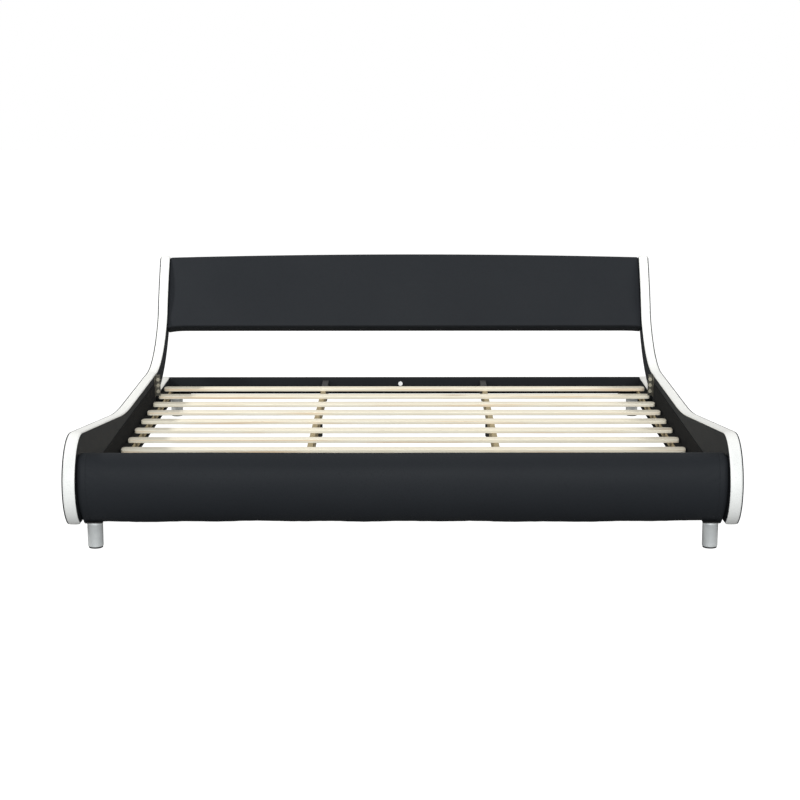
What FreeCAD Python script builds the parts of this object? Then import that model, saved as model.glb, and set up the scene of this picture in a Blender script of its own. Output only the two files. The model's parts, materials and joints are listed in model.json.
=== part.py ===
"""A king-size upholstered sleigh bed frame on metal legs, as a parametric document.

+X is the bed's left-to-right width, +Y runs from the foot to the head and +Z is up, in millimetres.
The origin is the middle of the footprint, on the floor. Along the bed, a distance called a station is
measured from the front of the side panels' roll; half_length turns it into Y.
"""
import FreeCAD, Part
import math
import os

import Sketcher
from FreeCAD import Placement, Rotation, Vector

DRIVING = {
    # overall
    "inner_width": 1990, "half_length": 1197.6, "base_height": 85, "fit_gap": 0.2,
    # side panels: a board with a thin pad on each face and a pale band over its edge
    "board_thickness": 32, "pad_thickness": 4, "band_thickness": 4,
    "roll_radius": 146, "roll_centre_height": 213, "rail_slope": 7.64, "dip_radius": 1960,
    "rail_top": 242, "joint_station": 1796, "joint_gap": 2,
    # the head ends of the side panels, which rise in a swan neck
    "neck_start": 1828, "neck_radius": 485, "neck_turn": 45.4, "bend_radius": 155, "bend_turn": 21.9,
    "tip_radius": 948, "tip_turn": 14.6, "neck_depth": 85, "tip_corner": 18,
    "notch_station": 1880, "tail_top": 152, "tail_end": 2232,
    # the lining, the ledges that carry the slats and the battens along them
    "lining_thickness": 4.5, "lining_top": 213, "lining_end": 1754, "ledge_inner": 962, "ledge_end": 2006,
    "deck_start": 130, "batten_width": 6, "batten_height": 28,
    # slats
    "slat_count": 12, "slat_first": 191, "slat_pitch": 162.7, "slat_width": 50, "slat_thickness": 12,
    "slat_half_length": 984, "slat_corner": 12, "slat_under": 141,
    # centre beams, their hangers and the posts under them
    "beam_offset": 331, "beam_width": 20, "beam_height": 50, "beam_end_gap": 2, "centre_leg_station": 1650,
    "post_radius": 11, "post_height": 87, "post_glide_radius": 15, "hanger_length": 45, "hanger_wall": 2,
    "channel_overrun": 1, "sleeve_length": 190,
    # footboard
    "face_radius": 153, "face_centre_station": 178, "face_centre_height": 222, "crest_radius": 47.5,
    "foot_pad": 18, "foot_board": 12, "foot_back": 128, "foot_back_panel": 11,
    "foot_back_panel_foot": 118, "foot_back_panel_top": 227, "hem_angle": 63, "panel_end_gap": 1,
    # back rail
    "back_rail_front": 2200, "back_rail_board": 24, "cover_thickness": 2, "cap_radius": 9, "cap_height": 6,
    "cap_offset": 16, "cap_centre_height": 128,
    # headboard panel, leaning back
    "head_lean": 29, "head_foot_station": 2186, "head_foot_height": 378, "head_height": 302,
    "head_crown": 14, "head_end_gap": 2, "head_pad": 25, "head_board": 25, "head_cover": 14,
    # legs
    "leg_offset": 957, "leg_front_station": 122, "leg_rear_station": 2156, "leg_top_radius": 25,
    "leg_foot_radius": 24, "leg_foot_edge": 2, "glide_height": 4, "glide_radius": 22,
    "plate_side": 52, "plate_thickness": 3,
    "block_length": 76, "block_width": 60, "block_height": 36,
    # joint brackets and their fasteners
    "angle_wall": 3, "angle_face": 40, "angle_flange": 20, "angle_foot": 155, "angle_height": 85,
    "bolt_radius": 4, "bolt_hole_radius": 4.3, "bolt_pitch": 24, "bolt_head_height": 5.5, "bolt_hex": 13,
    "nut_height": 6.5, "bolt_length": 18, "bolt_clearance": 0.1, "drilling_length": 12,
    "tie_plate": 44, "tie_depth": 18, "tie_wall": 3, "tie_low": 70, "tie_high": 200,
}

doc = FreeCAD.newDocument("sleigh_bed")
sheet = doc.addObject("Spreadsheet::Sheet", "Sizes")
for row, (alias, value) in enumerate(DRIVING.items(), start=1):
    sheet.set(f"A{row}", alias)
    sheet.set(f"B{row}", str(value))
    sheet.setAlias(f"B{row}", alias)
doc.recompute()

SIDES = {"left": -1, "right": 1}
nodes = []


def size(alias):
    """The value of one driving dimension."""
    return float(getattr(sheet, alias))


def cell(alias):
    """The expression that reads one driving dimension."""
    return f"Sizes.{alias}"


def keep(piece, label):
    """Names a finished piece and lists it for export."""
    piece.Label = label
    nodes.append(piece)
    return piece


# ---- outlines: chains of lines and arcs in (station, height) ---------------------------------------------


class Line:
    """A straight stretch from one point to another."""

    def __init__(self, start, end):
        self.start, self.end = Vector(start[0], start[1]), Vector(end[0], end[1])

    def offset(self, distance, rule):
        """The same stretch moved to its right-hand side."""
        run = (self.end - self.start).normalize()
        shift = Vector(run.y, -run.x) * distance
        return Line(self.start + shift, self.end + shift)

    def reversed(self):
        return Line(self.end, self.start)


class Arc:
    """An arc about a centre between two angles in degrees; a falling angle turns to the right."""

    def __init__(self, centre, radius, first, last, rule):
        self.centre, self.radius = Vector(centre[0], centre[1]), radius
        self.first, self.last, self.rule = first, last, rule
        self.start, self.end = self.at(first), self.at(last)

    def at(self, angle):
        turn = math.radians(angle)
        return self.centre + Vector(math.cos(turn), math.sin(turn)) * self.radius

    def offset(self, distance, rule):
        """The concentric arc on the right-hand side of this one."""
        sign = -1 if self.last < self.first else 1
        word = "-" if sign < 0 else "+"
        return Arc(self.centre, self.radius + sign * distance, self.first, self.last,
                   f"{self.rule} {word} ({rule})")

    def reversed(self):
        return Arc(self.centre, self.radius, self.last, self.first, self.rule)


def turn_from(point, heading, radius, turn, rule):
    """An arc that leaves a point along a heading and turns by an angle, left where it is positive."""
    side = 90 if turn > 0 else -90
    reach = math.radians(heading + side)
    centre = point + Vector(math.cos(reach), math.sin(reach)) * radius
    return Arc(centre, radius, heading - side, heading - side + turn, rule)


def offset_chain(chain, distance, rule):
    return [piece.offset(distance, rule) for piece in chain]


def reversed_chain(chain):
    return [piece.reversed() for piece in reversed(chain)]


def close(*chains):
    """Joins chains end to end, and back to the start, with straight stretches where they don't meet."""
    pieces = [piece for chain in chains for piece in chain]
    outline = []
    for piece, following in zip(pieces, pieces[1:] + pieces[:1]):
        outline.append(piece)
        if (piece.end - following.start).Length > 1e-6:
            outline.append(Line(piece.end, following.start))
    return outline


def polygon(*points):
    corners = [Vector(p[0], p[1]) for p in points]
    return [Line(a, b) for a, b in zip(corners, corners[1:] + corners[:1])]


def draw(sketch, outline):
    """Puts an outline into a sketch, joined at its corners, with each radius bound to the sheet."""
    ends = []
    for piece in outline:
        if isinstance(piece, Arc):
            circle = Part.Circle(piece.centre, Vector(0, 0, 1), piece.radius)
            low, high = sorted((math.radians(piece.first), math.radians(piece.last)))
            index = sketch.addGeometry(Part.ArcOfCircle(circle, low, high), False)
            forward = piece.last > piece.first
            ends.append((index, 1, 2) if forward else (index, 2, 1))
            number = sketch.addConstraint(Sketcher.Constraint("Radius", index, piece.radius))
            sketch.setExpression(f"Constraints[{number}]", piece.rule)
        else:
            index = sketch.addGeometry(Part.LineSegment(piece.start, piece.end), False)
            ends.append((index, 1, 2))
            run = piece.end - piece.start
            if abs(run.y) < 1e-7:
                sketch.addConstraint(Sketcher.Constraint("Horizontal", index))
            elif abs(run.x) < 1e-7:
                sketch.addConstraint(Sketcher.Constraint("Vertical", index))
    for (index, _, last), (following, first, _) in zip(ends, ends[1:] + ends[:1]):
        sketch.addConstraint(Sketcher.Constraint("Coincident", index, last, following, first))


def padded_body(name, plane, outline, length_rule, placement, holes=()):
    """A body whose outline, drawn on one of its origin planes, is padded along that plane's normal."""
    body = doc.addObject("PartDesign::Body", name)
    sketch = body.newObject("Sketcher::SketchObject", f"{name}_outline")
    support = next(f for f in body.Origin.OriginFeatures if f.Role == plane)
    sketch.AttachmentSupport = (support, [""])
    sketch.MapMode = "FlatFace"
    draw(sketch, outline)
    for centre, radius_rule, radius in holes:
        index = sketch.addGeometry(Part.Circle(Vector(*centre), Vector(0, 0, 1), radius), False)
        number = sketch.addConstraint(Sketcher.Constraint("Radius", index, radius))
        sketch.setExpression(f"Constraints[{number}]", radius_rule)
    pad = body.newObject("PartDesign::Pad", f"{name}_pad")
    pad.Profile = sketch
    pad.setExpression("Length", length_rule)
    body.Placement = placement
    return body


def side_sheet(label, side, inner, thickness_rule, thickness, outline):
    """A piece of constant thickness in a side panel, its inner face at a distance from the middle."""
    start = inner if side > 0 else -inner - thickness
    place = Placement(Vector(start, -size("half_length"), 0), Rotation())
    return keep(padded_body(label, "YZ_Plane", outline, thickness_rule, place), label)


def block(name, across, along, upward):
    """A box from three pairs of (low edge, size rule); along is a station."""
    box = doc.addObject("Part::Box", name)
    for field, (_, rule) in zip(("Length", "Width", "Height"), (across, along, upward)):
        box.setExpression(field, rule)
    box.Placement = Placement(Vector(across[0], along[0] - size("half_length"), upward[0]), Rotation())
    return box


def group(label, members):
    """Identical loose pieces kept together as separate solids."""
    bundle = doc.addObject("Part::Compound", label)
    bundle.Links = members
    return keep(bundle, label)


# ---- outlines of the side panels -------------------------------------------------------------------------

half_inner = size("inner_width") / 2
base = size("base_height")
band, gap = size("band_thickness"), size("fit_gap")
BAND_RULE = cell("band_thickness")
INSET_RULE = "Sizes.band_thickness + Sizes.fit_gap"
BAND_WIDTH_RULE = "Sizes.pad_thickness + Sizes.board_thickness"
PANEL_WIDTH_RULE = "Sizes.inner_width - 2 * Sizes.panel_end_gap"


def rail_edge(inset, rule):
    """The side rail's edge from the hem of its roll, over the crest and along to the joint."""
    radius, centre = size("roll_radius"), (size("roll_radius"), size("roll_centre_height"))
    slope, top = size("rail_slope"), size("rail_top")
    inner = radius - inset
    hem = 180 + math.degrees(math.asin((centre[1] - base) / inner))
    roll = Arc(centre, inner, hem, 90 - slope, f"Sizes.roll_radius - ({rule})")
    dip_radius = size("dip_radius")
    fall = dip_radius * (1 - math.cos(math.radians(slope)))
    outer_crest = centre[1] + radius * math.cos(math.radians(slope))
    run = (outer_crest - top - fall) / math.sin(math.radians(slope))
    heading = Vector(math.cos(math.radians(-slope)), math.sin(math.radians(-slope)))
    straight = Line(roll.end, roll.end + heading * run)
    dip = turn_from(straight.end, -slope, dip_radius + inset, slope, f"Sizes.dip_radius + ({rule})")
    end = size("joint_station") - size("joint_gap") / 2
    return [roll, straight, dip, Line(dip.end, Vector(end, dip.end.y))]


def neck_edge():
    """The head end's front edge: level at the joint, then up the swan neck to the tip."""
    start = size("joint_station") + size("joint_gap") / 2
    level = Line((start, size("rail_top")), (size("neck_start"), size("rail_top")))
    neck = turn_from(level.end, 0, size("neck_radius"), size("neck_turn"), cell("neck_radius"))
    heading = size("neck_turn")
    bend = turn_from(neck.end, heading, size("bend_radius"), size("bend_turn"), cell("bend_radius"))
    heading += size("bend_turn")
    tip = turn_from(bend.end, heading, size("tip_radius"), -size("tip_turn"), cell("tip_radius"))
    return [level, neck, bend, tip]


def tip_cap(edge):
    """The rounded end of the neck, from its front edge round to its back edge."""
    corner = size("tip_corner")
    heading = size("neck_turn") + size("bend_turn") - size("tip_turn")
    first = turn_from(edge[-1].end, heading, corner, -90, cell("tip_corner"))
    across = math.radians(heading - 90)
    flat = Line(first.end, first.end + Vector(math.cos(across), math.sin(across))
                * (size("neck_depth") - 2 * corner))
    second = turn_from(flat.end, heading - 90, corner, -90, cell("tip_corner"))
    return [first, flat, second]


def neck_back():
    """The neck's back edge, from the tip down to the notch behind it, one neck depth behind the front."""
    level, neck, bend, tip = offset_chain(neck_edge(), size("neck_depth"), cell("neck_depth"))
    reach = (size("notch_station") - size("neck_start")) / neck.radius
    neck = Arc(neck.centre, neck.radius, math.degrees(math.asin(reach)) - 90, neck.last, neck.rule)
    return reversed_chain([neck, bend, tip])


def rail_outline(inset, rule):
    """The side rail at an inset from the outer face of its band."""
    edge = rail_edge(inset, rule)
    return close(edge, [Line((edge[-1].end.x, base), (edge[0].start.x, base))])


def neck_outline(inset, rule):
    """The head end at an inset from its bands' outer faces: the neck, the notch behind it and the tail."""
    edge = neck_edge()
    front = edge + tip_cap(edge)[:2]
    if inset:
        front = offset_chain(front, inset, rule)
    back = neck_back()
    top = size("tail_top") - inset
    tail = size("tail_end")
    start = size("joint_station") + size("joint_gap") / 2
    lower = [Line((size("notch_station"), top), (tail, top)), Line((tail, base), (start, base))]
    corner = front[-1].end
    return close(front, [Line(corner, back[0].start)], back, lower)


def strip(edge):
    """A band of even thickness whose outer face follows an edge."""
    return close(edge, reversed_chain(offset_chain(edge, band, BAND_RULE)))


# ---- side panels -----------------------------------------------------------------------------------------


def build_side(word, side):
    pad, board = size("pad_thickness"), size("board_thickness")
    outer_pad = half_inner + pad + board
    pad_rule, board_rule = cell("pad_thickness"), cell("board_thickness")
    for part, outline in (("rail", rail_outline), ("wing", neck_outline)):
        inside = outline(band + gap, INSET_RULE)
        side_sheet(f"{word}_{part}_inner_pad", side, half_inner, pad_rule, pad, inside)
        side_sheet(f"{word}_{part}_board", side, half_inner + pad, board_rule, board, inside)
        side_sheet(f"{word}_{part}_outer_pad", side, outer_pad, pad_rule, pad, outline(0, "0"))
    width, width_rule = pad + board, BAND_WIDTH_RULE
    outer_edge = rail_edge(0, "0")
    inner_edge = rail_edge(band, BAND_RULE)
    side_sheet(f"{word}_rail_band", side, half_inner, width_rule, width,
               close(outer_edge, reversed_chain(inner_edge)))
    edge = neck_edge()
    side_sheet(f"{word}_wing_band", side, half_inner, width_rule, width, strip(edge + tip_cap(edge)[:2]))
    # the lining over the lower inner face, and the ledges that carry the slats
    lining = size("lining_thickness")
    start, end, top = size("deck_start"), size("lining_end"), size("lining_top")
    side_sheet(f"{word}_rail_lining", side, half_inner - lining, cell("lining_thickness"), lining,
               polygon((start, base), (end, base), (end, top), (start, top)))
    under, inner = size("slat_under"), size("ledge_inner")
    ledge = half_inner - lining - inner
    ledge_rule = "Sizes.inner_width / 2 - Sizes.ledge_inner"
    side_sheet(f"{word}_rail_ledge", side, inner, f"{ledge_rule} - Sizes.lining_thickness", ledge,
               polygon((start, base), (end, base), (end, under), (start, under)))
    head_start, head_end = size("joint_station") + size("joint_gap") / 2, size("ledge_end")
    side_sheet(f"{word}_wing_ledge", side, inner, ledge_rule, half_inner - inner,
               polygon((head_start, base), (head_end, base), (head_end, under), (head_start, under)))


for word, side in SIDES.items():
    build_side(word, side)


def across_from(side, inner, width):
    """The low X of a piece that starts at a distance from the middle on one side."""
    return inner if side > 0 else -inner - width


def both_sides(label, make):
    """One node from the pieces that a function makes for the left and for the right."""
    return group(label, [make(word, side) for word, side in SIDES.items()])


def rear_band(word, side):
    """The pale band over the low tail of a side panel, behind the neck."""
    width = size("pad_thickness") + size("board_thickness")
    return block(f"rear_band_{word}", (across_from(side, half_inner, width), BAND_WIDTH_RULE),
                 (size("notch_station") + band,
                  "Sizes.tail_end - Sizes.notch_station - Sizes.band_thickness"),
                 (size("tail_top") - band, BAND_RULE))


def batten(word, side):
    """The raw strip of wood along a ledge's inner face, from the corner block to the last slat."""
    inner = size("ledge_inner") - size("batten_width")
    first = size("foot_back") + size("block_length")
    return block(f"batten_{word}", (across_from(side, inner, size("batten_width")), cell("batten_width")),
                 (first, "Sizes.ledge_end - Sizes.foot_back - Sizes.block_length"),
                 (size("slat_under") - size("batten_height"), cell("batten_height")))


both_sides("rear_bands", rear_band)
both_sides("ledge_battens", batten)

# ---- slats -----------------------------------------------------------------------------------------------


def slat(number):
    """One pine slat with rounded corners, lying across the ledges and the centre beams."""
    name = f"slat_{number:02d}"
    middle = size("slat_first") + (number - 1) * size("slat_pitch")
    plank = block(f"{name}_plank", (-size("slat_half_length"), "2 * Sizes.slat_half_length"),
                  (middle - size("slat_width") / 2, cell("slat_width")),
                  (size("slat_under"), cell("slat_thickness")))
    doc.recompute()
    upright = [i for i, edge in enumerate(plank.Shape.Edges, start=1)
               if abs(edge.BoundBox.ZLength - size("slat_thickness")) < 1e-6]
    rounded = doc.addObject("Part::Fillet", name)
    rounded.Base = plank
    rounded.Edges = [(i, size("slat_corner"), size("slat_corner")) for i in upright]
    return keep(rounded, name)


for number in range(1, int(size("slat_count")) + 1):
    slat(number)

# ---- centre beams, their hangers and the posts under them ----------------------------------------------


def turned(name, half_profile, x, station, foot):
    """A round piece about an upright axis, from (radius, height) corners measured from its foot."""
    body = doc.addObject("PartDesign::Body", name)
    sketch = body.newObject("Sketcher::SketchObject", f"{name}_profile")
    support = next(f for f in body.Origin.OriginFeatures if f.Role == "XZ_Plane")
    sketch.AttachmentSupport = (support, [""])
    sketch.MapMode = "FlatFace"
    draw(sketch, polygon(*half_profile))
    revolution = body.newObject("PartDesign::Revolution", f"{name}_turning")
    revolution.Profile = sketch
    revolution.ReferenceAxis = (sketch, ["V_Axis"])
    revolution.Angle = 360
    body.Placement = Placement(Vector(x, station - size("half_length"), foot), Rotation())
    return body


beam_foot = size("slat_under") - size("beam_height")
for word, side in SIDES.items():
    centre = side * size("beam_offset")
    beam = block(f"{word}_centre_beam", (centre - size("beam_width") / 2, cell("beam_width")),
                 (size("deck_start"), "Sizes.back_rail_front - Sizes.beam_end_gap - Sizes.deck_start"),
                 (beam_foot, cell("beam_height")))
    keep(beam, f"{word}_centre_beam")
    radius, rise = size("post_radius"), size("post_height")
    post = turned(f"{word}_centre_leg", [(0, 0), (radius, 0), (radius, rise), (0, rise)],
                  centre, size("centre_leg_station"), size("glide_height"))
    keep(post, f"{word}_centre_leg")


def hanger(name, centre, start, length, walls, open_top):
    """A steel shoe that holds a beam's end: a saddle at the foot end, a closed sleeve at the head end."""
    wall, width, overrun = size("hanger_wall"), size("beam_width"), size("channel_overrun")
    outer = block(f"{name}_outer", (centre - width / 2 - wall, "Sizes.beam_width + 2 * Sizes.hanger_wall"),
                  (start, cell(length)), (beam_foot - wall, f"Sizes.beam_height + {walls} * Sizes.hanger_wall"))
    channel = block(f"{name}_channel", (centre - width / 2, cell("beam_width")),
                    (start - overrun, f"Sizes.{length} + 2 * Sizes.channel_overrun"),
                    (beam_foot, f"Sizes.beam_height + {open_top} * Sizes.channel_overrun"))
    saddle = doc.addObject("Part::Cut", name)
    saddle.Base, saddle.Tool = outer, channel
    return saddle


head_hanger = size("back_rail_front") - size("sleeve_length")
hanger_ends = (("foot", size("foot_back"), "hanger_length", 1, 1), ("head", head_hanger, "sleeve_length", 2, 0))
group("beam_hangers", [hanger(f"hanger_{word}_{end}", side * size("beam_offset"), start, length, walls, open_top)
                       for word, side in SIDES.items() for end, start, length, walls, open_top in hanger_ends])

# ---- corner legs, plates, blocks and glides --------------------------------------------------------------

leg_foot = size("glide_height")
leg_top = base - size("plate_thickness")
corners = [(word, end, side * size("leg_offset"), size(f"leg_{end}_station"))
           for word, side in SIDES.items() for end in ("front", "rear")]
for word, end, x, station in corners:
    foot_radius, top_radius, rise = size("leg_foot_radius"), size("leg_top_radius"), leg_top - leg_foot
    edge = size("leg_foot_edge")
    profile = [(0, 0), (foot_radius - edge, 0), (foot_radius, edge), (top_radius, rise), (0, rise)]
    keep(turned(f"{word}_{end}_leg", profile, x, station, leg_foot), f"{word}_{end}_leg")

half_plate = size("plate_side") / 2
group("leg_plates", [block(f"plate_{word}_{end}", (x - half_plate, cell("plate_side")),
                           (station - half_plate, cell("plate_side")), (leg_top, cell("plate_thickness")))
                     for word, end, x, station in corners])


def corner_block(word, side, end, start, width, width_rule):
    """The block over a corner leg, from its inner face out to the ledge or to the panel."""
    inner = size("ledge_inner") - size("block_width")
    return block(f"block_{word}_{end}", (across_from(side, inner, width), width_rule),
                 (start, cell("block_length")), (base, cell("block_height")))


to_panel = half_inner - size("ledge_inner") + size("block_width")
block_ends = (("foot", size("foot_back"), size("block_width"), cell("block_width")),
              ("head", size("back_rail_front") - size("block_length"), to_panel,
               "Sizes.inner_width / 2 - Sizes.ledge_inner + Sizes.block_width"))
group("corner_blocks", [corner_block(word, side, *block_end)
                        for word, side in SIDES.items() for block_end in block_ends])


def glide(name, x, station, radius_rule):
    """A disc under a leg."""
    disc = doc.addObject("Part::Cylinder", name)
    disc.setExpression("Radius", radius_rule)
    disc.setExpression("Height", cell("glide_height"))
    disc.Placement = Placement(Vector(x, station - size("half_length"), 0), Rotation())
    return disc


group("floor_glides", [glide(f"glide_{word}_{end}", x, station, cell("glide_radius"))
                       for word, end, x, station in corners]
      + [glide(f"glide_{word}_centre", side * size("beam_offset"), size("centre_leg_station"),
               cell("post_glide_radius")) for word, side in SIDES.items()])

# ---- footboard -------------------------------------------------------------------------------------------


def footboard_edge(inset, rule):
    """The footboard's section from its hem, up its bowed face and over its crest to its back."""
    face, crest = size("face_radius"), size("crest_radius")
    centre = Vector(size("face_centre_station"), size("face_centre_height"))
    across = centre.x - (size("foot_back") - crest)
    rise = math.degrees(math.acos(across / (face - crest)))
    crest_centre = (centre.x - across, centre.y + (face - crest) * math.sin(math.radians(rise)))
    return [Arc(centre, face - inset, 180 + size("hem_angle"), 180 - rise, f"Sizes.face_radius - ({rule})"),
            Arc(crest_centre, crest - inset, 180 - rise, 0, f"Sizes.crest_radius - ({rule})")]


crosswise_half = half_inner - size("panel_end_gap")


def footboard_layer(label, outer, outer_rule, inner, inner_rule):
    """One layer of the footboard between two insets from its face."""
    outline = close(footboard_edge(outer, outer_rule), reversed_chain(footboard_edge(inner, inner_rule)))
    place = Placement(Vector(-crosswise_half, -size("half_length"), 0), Rotation())
    keep(padded_body(label, "YZ_Plane", outline, PANEL_WIDTH_RULE, place), label)


board_outer = size("foot_pad") + gap
footboard_layer("footboard_pad", 0, "0", size("foot_pad"), cell("foot_pad"))
footboard_layer("footboard_board", board_outer, "Sizes.foot_pad + Sizes.fit_gap",
                board_outer + size("foot_board"), "Sizes.foot_pad + Sizes.fit_gap + Sizes.foot_board")
keep(block("footboard_back_panel", (-crosswise_half, PANEL_WIDTH_RULE),
           (size("foot_back") - size("foot_back_panel"), cell("foot_back_panel")),
           (size("foot_back_panel_foot"), "Sizes.foot_back_panel_top - Sizes.foot_back_panel_foot")),
     "footboard_back_panel")

# ---- back rail -------------------------------------------------------------------------------------------

skin, rail_front, rail_core = size("cover_thickness"), size("back_rail_front"), size("back_rail_board")
keep(block("back_rail_board", (-crosswise_half, PANEL_WIDTH_RULE),
           (rail_front + skin, cell("back_rail_board")),
           (base, "Sizes.tail_top - Sizes.cover_thickness - Sizes.base_height")), "back_rail_board")
rail_back, rail_crown = rail_front + 2 * skin + rail_core, size("tail_top")
cover_outline = polygon((rail_front, base), (rail_front, rail_crown), (rail_back, rail_crown),
                        (rail_back, base), (rail_back - skin, base), (rail_back - skin, rail_crown - skin),
                        (rail_front + skin, rail_crown - skin), (rail_front + skin, base))
keep(padded_body("back_rail_cover", "YZ_Plane", cover_outline, PANEL_WIDTH_RULE,
                 Placement(Vector(-crosswise_half, -size("half_length"), 0), Rotation())), "back_rail_cover")

cap = doc.addObject("Part::Cylinder", "back_rail_cap")
cap.setExpression("Radius", cell("cap_radius"))
cap.setExpression("Height", cell("cap_height"))
cap_centre = Vector(-size("cap_offset"), rail_front - size("half_length"), size("cap_centre_height"))
cap.Placement = Placement(cap_centre, Rotation(Vector(1, 0, 0), 90))
keep(cap, "back_rail_cap")

# ---- headboard panel -------------------------------------------------------------------------------------

lean = Rotation(Vector(1, 0, 0), 90 - size("head_lean"))
forward = lean.multVec(Vector(0, 0, 1))
panel_foot = Vector(0, size("head_foot_station") - size("half_length"), size("head_foot_height"))


def at_depth(depth):
    """The panel's own frame, its Z forward, moved back from the front face by a depth."""
    return Placement(panel_foot - forward * depth, lean)


def crowned_outline(half, height, crown):
    """A panel's face: straight foot and ends, and a top that rises to the middle in one wide arc."""
    radius = (half * half + crown * crown) / (2 * crown)
    sweep = math.degrees(math.asin(half / radius))
    rule = ("(pow(Sizes.inner_width / 2 - Sizes.head_end_gap; 2) + pow(Sizes.head_crown; 2))"
            " / (2 * Sizes.head_crown)")
    top = Arc((0, height + crown - radius), radius, 90 - sweep, 90 + sweep, rule)
    return close([Line((-half, 0), (half, 0))], [top])


panel_half = half_inner - size("head_end_gap")
panel_outline = crowned_outline(panel_half, size("head_height"), size("head_crown"))
depth = 0
for layer in ("pad", "board", "cover"):
    depth += size(f"head_{layer}")
    label = "headboard_back_cover" if layer == "cover" else f"headboard_{layer}"
    keep(padded_body(label, "XY_Plane", panel_outline, cell(f"head_{layer}"), at_depth(depth)), label)


def tie(word, side, level, height):
    """A steel angle behind the panel that ties its end to the neck."""
    plate, back, wall = size("tie_plate"), size("tie_depth"), size("tie_wall")
    inner = half_inner - gap - plate
    ell = [(0, 0), (plate, 0), (plate, back), (plate - wall, back), (plate - wall, wall), (0, wall)]
    if side < 0:
        ell = [(plate - x, y) for x, y in ell]
    corner = at_depth(depth).multVec(Vector(across_from(side, inner, plate), height, 0))
    turn = lean.multiply(Rotation(Vector(1, 0, 0), -90))
    return padded_body(f"tie_{word}_{level}", "XY_Plane", polygon(*ell), cell("tie_plate"),
                       Placement(corner, turn))


group("headboard_ties", [tie(word, side, level, height) for word, side in SIDES.items()
                         for level, height in (("low", size("tie_low")), ("high", size("tie_high")))])

# ---- joint brackets and fasteners ------------------------------------------------------------------------

wall, flange = size("angle_wall"), size("angle_flange")
bolt_levels = [size("angle_height") / 2 + step * size("bolt_pitch") for step in (-1, 0, 1)]


def joint_angle(word, side, end):
    """A steel angle screwed to the inner face beside the joint, its drilled flange facing the other one."""
    toward = 1 if end == "rail" else -1
    face = size("angle_face")
    corner = Vector(side * half_inner, size("joint_station") - size("half_length"), size("angle_foot"))
    ell = [(0, 0), (-flange, 0), (-flange, -wall), (-wall, -wall), (-wall, -face), (0, -face)]
    if side < 0:
        ell = [(-x, y) for x, y in ell]
    if toward < 0:
        ell = [(x, -y) for x, y in ell]
    body = padded_body(f"angle_{word}_{end}", "XY_Plane", polygon(*ell), cell("angle_height"),
                       Placement(corner, Rotation()))
    doc.recompute()
    sketch = body.newObject("Sketcher::SketchObject", f"angle_{word}_{end}_holes")
    sketch.AttachmentSupport = (next(f for f in body.Origin.OriginFeatures if f.Role == "XZ_Plane"), [""])
    sketch.MapMode = "FlatFace"
    for level in bolt_levels:
        middle = Vector(-side * (flange + wall) / 2, level, 0)
        index = sketch.addGeometry(Part.Circle(middle, Vector(0, 0, 1), size("bolt_hole_radius")), False)
        number = sketch.addConstraint(Sketcher.Constraint("Radius", index, size("bolt_hole_radius")))
        sketch.setExpression(f"Constraints[{number}]", cell("bolt_hole_radius"))
    holes = body.newObject("PartDesign::Pocket", f"angle_{word}_{end}_drilling")
    holes.Profile = sketch
    holes.Midplane = True
    holes.setExpression("Length", cell("drilling_length"))
    before = body.Shape.Volume
    doc.recompute()
    if not body.Shape.Volume < before - 1:
        raise RuntimeError(f"the holes of {body.Name} cut nothing")
    return body


group("joint_angles", [joint_angle(word, side, end) for word, side in SIDES.items()
                       for end in ("rail", "wing")])


def hexagon(across_flats):
    """A hexagon about the origin."""
    corner = across_flats / math.sqrt(3)
    return polygon(*[(corner * math.cos(math.radians(60 * k)), corner * math.sin(math.radians(60 * k)))
                     for k in range(6)])


def fastener(word, side, number, level):
    """A hexagon bolt through both flanges and the nut behind them."""
    x = side * (half_inner - (flange + wall) / 2)
    y, z = size("joint_station") - size("half_length"), size("angle_foot") + level
    backward = Rotation(Vector(1, 0, 0), -90)
    head = padded_body(f"bolt_{word}_{number}", "XY_Plane", hexagon(size("bolt_hex")),
                       cell("bolt_head_height"),
                       Placement(Vector(x, y - wall - size("bolt_head_height"), z), backward))
    shank = doc.addObject("Part::Cylinder", f"shank_{word}_{number}")
    shank.setExpression("Radius", cell("bolt_radius"))
    shank.setExpression("Height", cell("bolt_length"))
    shank.Placement = Placement(Vector(x, y - wall, z), backward)
    bolt = doc.addObject("Part::Fuse", f"bolt_whole_{word}_{number}")
    bolt.Base, bolt.Tool = head, shank
    nut = padded_body(f"nut_{word}_{number}", "XY_Plane", hexagon(size("bolt_hex")), cell("nut_height"),
                      Placement(Vector(x, y + wall, z), backward),
                      holes=[((0, 0), "Sizes.bolt_radius + Sizes.bolt_clearance",
                              size("bolt_radius") + size("bolt_clearance"))])
    return [bolt, nut]


group("joint_fasteners", [piece for word, side in SIDES.items()
                          for number, level in enumerate(bolt_levels, start=1)
                          for piece in fastener(word, side, number, level)])

# ---- check and export ------------------------------------------------------------------------------------

doc.recompute()
for item in doc.Objects:
    if "Invalid" in item.State or "Error" in item.State:
        raise RuntimeError(f"{item.Label} is {item.State}")
for piece in nodes:
    if piece.Shape.isNull() or not piece.Shape.isValid():
        raise RuntimeError(f"{piece.Label} has no valid shape")
os.makedirs("parts", exist_ok=True)
whole = FreeCAD.BoundBox()
for piece in nodes:
    piece.Shape.exportStep(f"parts/{piece.Label}.step")
    whole.add(piece.Shape.BoundBox)
print(f"{len(nodes)} pieces, X {whole.XMin:.2f} {whole.XMax:.2f}, Y {whole.YMin:.2f} {whole.YMax:.2f}, "
      f"Z {whole.ZMin:.2f} {whole.ZMax:.2f}")
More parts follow.
